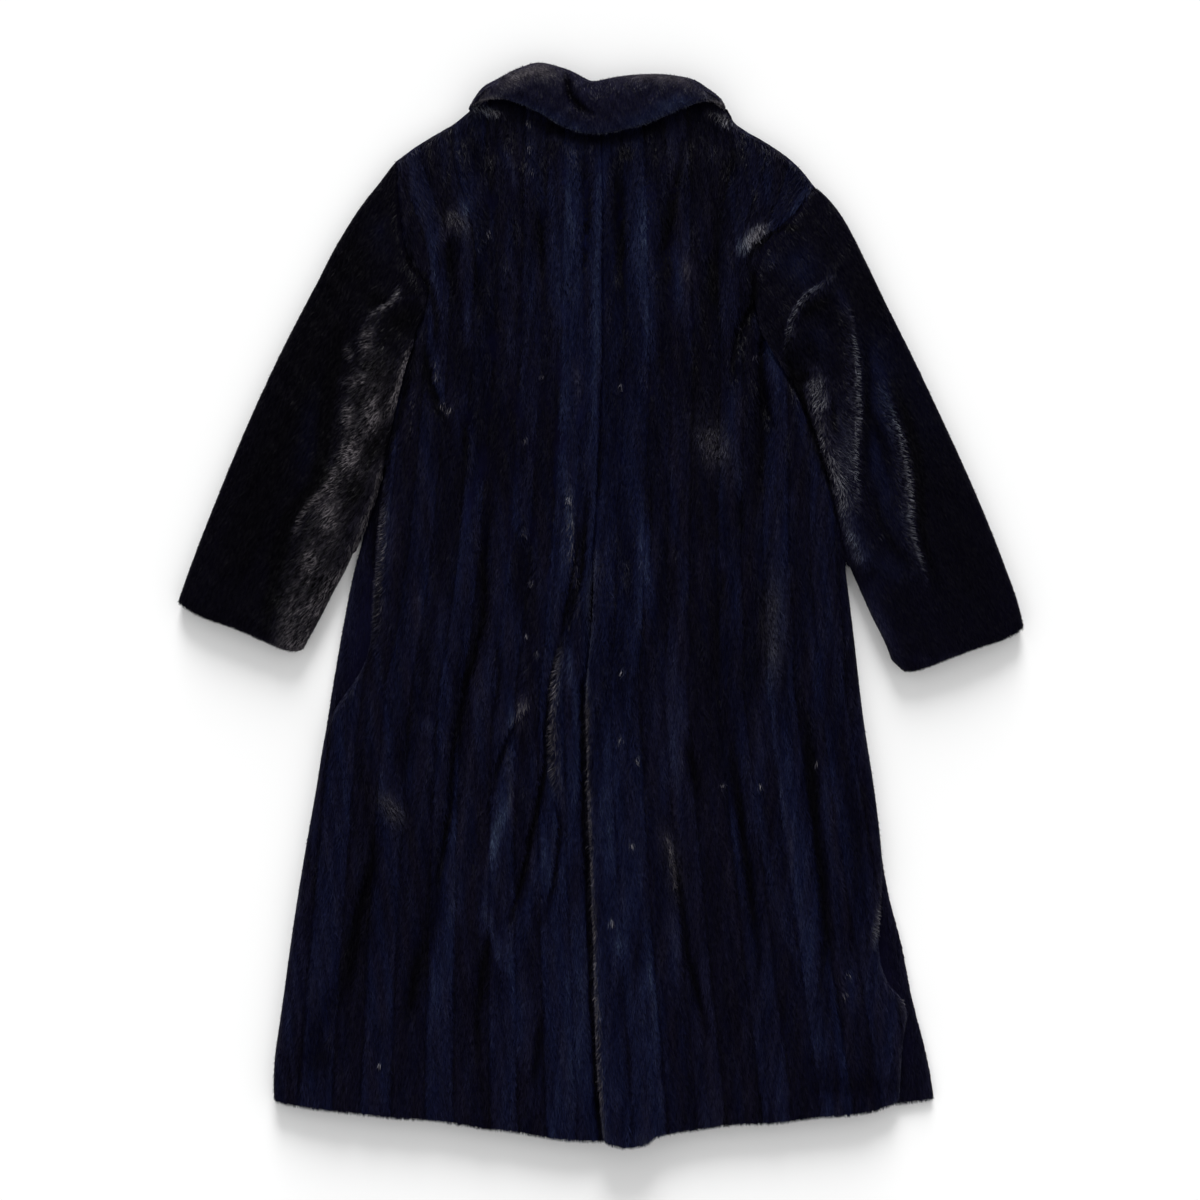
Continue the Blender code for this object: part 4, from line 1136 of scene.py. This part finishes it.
left_sleeve = sleeve_coat(
    "sleeve_left", -1, SLEEVE_STROKES_LEFT, SLEEVE_CRUMPLE_LEFT, 0.6, SLEEVE_COMB_LEFT, 0.5)
right_sleeve = sleeve_coat(
    "sleeve_right", 1, SLEEVE_STROKES_RIGHT, SLEEVE_CRUMPLE_RIGHT, 0.0, SLEEVE_COMB_RIGHT, 0.15)
PANELS = (
    # node, its coat, its relief and where hairs grow, levels of refinement, and the cut in metres:
    # width and length, and area
    ("back_left", back_coat, back_relief, all_over, 2, (0.42, 1.26), 0.37),
    ("back_right", back_coat, back_relief, all_over, 2, (0.42, 1.26), 0.36),
    ("sleeve_left", left_sleeve, sleeve_relief, all_over, 2, (0.40, 0.61), 0.155),
    ("sleeve_right", right_sleeve, sleeve_relief, all_over, 2, (0.40, 0.61), 0.16),
    ("collar", collar_coat, collar_relief, all_over, 2, (0.33, 0.14), 0.03),
    ("front_left", front_coat, *front_panel(-1), 1, (0.42, 1.20), 0.34),
    ("front_right", front_coat, *front_panel(1), 1, (0.42, 1.20), 0.33),
    ("collar_front_left", front_coat, hidden_relief, at_rim, 2, (0.09, 0.28), 0.016),
    ("collar_front_right", front_coat, hidden_relief, at_rim, 2, (0.09, 0.28), 0.015),
)
PILES = (
    # name, roughness, gloss, hairs per square metre, length, width, splay in radians, and
    # unevenness of lift and of tone
    ("underfur", 0.55, 0.01, 280000, 7.0, 0.95, 0.28, 6.0, 0.16),
    ("guard_hair", 0.40, 0.05, 340000, 8.8, 0.80, 0.17, 6.0, 0.30),
)

skin = skin_finish("underfur_skin")
finishes = {name: hair_finish("mink_" + name, rough, gloss) for name, rough, gloss, *_ in PILES}
for order, (node, make_coat, relief, cover, levels, cut, area) in enumerate(PANELS):
    body = Shell(node, make_coat, relief, levels, cover, skin)
    grown = [pile(kind + "_" + node, body, finishes[kind], 10 * order + number, *values)
             for number, (kind, _, _, *values) in enumerate(PILES)]
    for piece in (body.piece, *grown):
        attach(piece, "root")
    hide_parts(node)

# --- the studio ---

FLOOR_REACH, FLOOR_WHITE = 8.0, 0.9
FRAME_WIDTH = 1.44  # what the picture spans at the coat's height
CAMERA_HEIGHT, COAT_HEIGHT = 3.6, 0.02
PICTURE_MIDDLE = (-0.0007, 0.0049)
KEY_ENERGY, KEY_ELEVATION, KEY_SOFTNESS = 4.85, 15.0, 24.0
SKY_LOW, SKY_HIGH = (0.40, 1.40), (0.92, 0.18)  # a height in the sky, and how bright it is there

floor_mesh = bpy.data.meshes.new("floor")
floor_mesh.from_pydata([(x * FLOOR_REACH, y * FLOOR_REACH, 0.0) for x, y in
                        ((-1, -1), (1, -1), (1, 1), (-1, 1))], [], [(0, 1, 2, 3)])
floor = add("floor", floor_mesh)
floor_material, floor_tree = new_material("white_floor")
put(floor_tree, "ShaderNodeOutputMaterial", {"Surface": put(
    floor_tree, "ShaderNodeBsdfDiffuse", {"Color": (*[FLOOR_WHITE] * 3, 1.0)})})
floor_mesh.materials.append(floor_material)

key = bpy.data.lights.new("key", "SUN")
key.energy = KEY_ENERGY
key.angle = math.radians(KEY_SOFTNESS)
add("key", key).rotation_euler = (math.radians(KEY_ELEVATION - 90.0), 0.0, 0.0)

world = bpy.data.worlds.new("studio")
world.use_nodes = True
world.node_tree.nodes.clear()
height = put(world.node_tree, "ShaderNodeSeparateXYZ",
             {0: put(world.node_tree, "ShaderNodeTexCoord")[0]})[2]
glow = put(world.node_tree, "ShaderNodeMapRange",
           {"Value": height, "From Min": SKY_LOW[0], "From Max": SKY_HIGH[0],
            "To Min": SKY_LOW[1], "To Max": SKY_HIGH[1]})
put(world.node_tree, "ShaderNodeOutputWorld", {"Surface": put(
    world.node_tree, "ShaderNodeBackground", {"Color": (1.0, 1.0, 1.0, 1.0), "Strength": glow})})
bpy.context.scene.world = world

lens = bpy.data.cameras.new("camera")
lens.lens = lens.sensor_width * CAMERA_HEIGHT / FRAME_WIDTH
camera = add("camera", lens)
camera.location = (*PICTURE_MIDDLE, CAMERA_HEIGHT + COAT_HEIGHT)
bpy.context.scene.camera = camera
bpy.context.scene.view_settings.view_transform = "Standard"
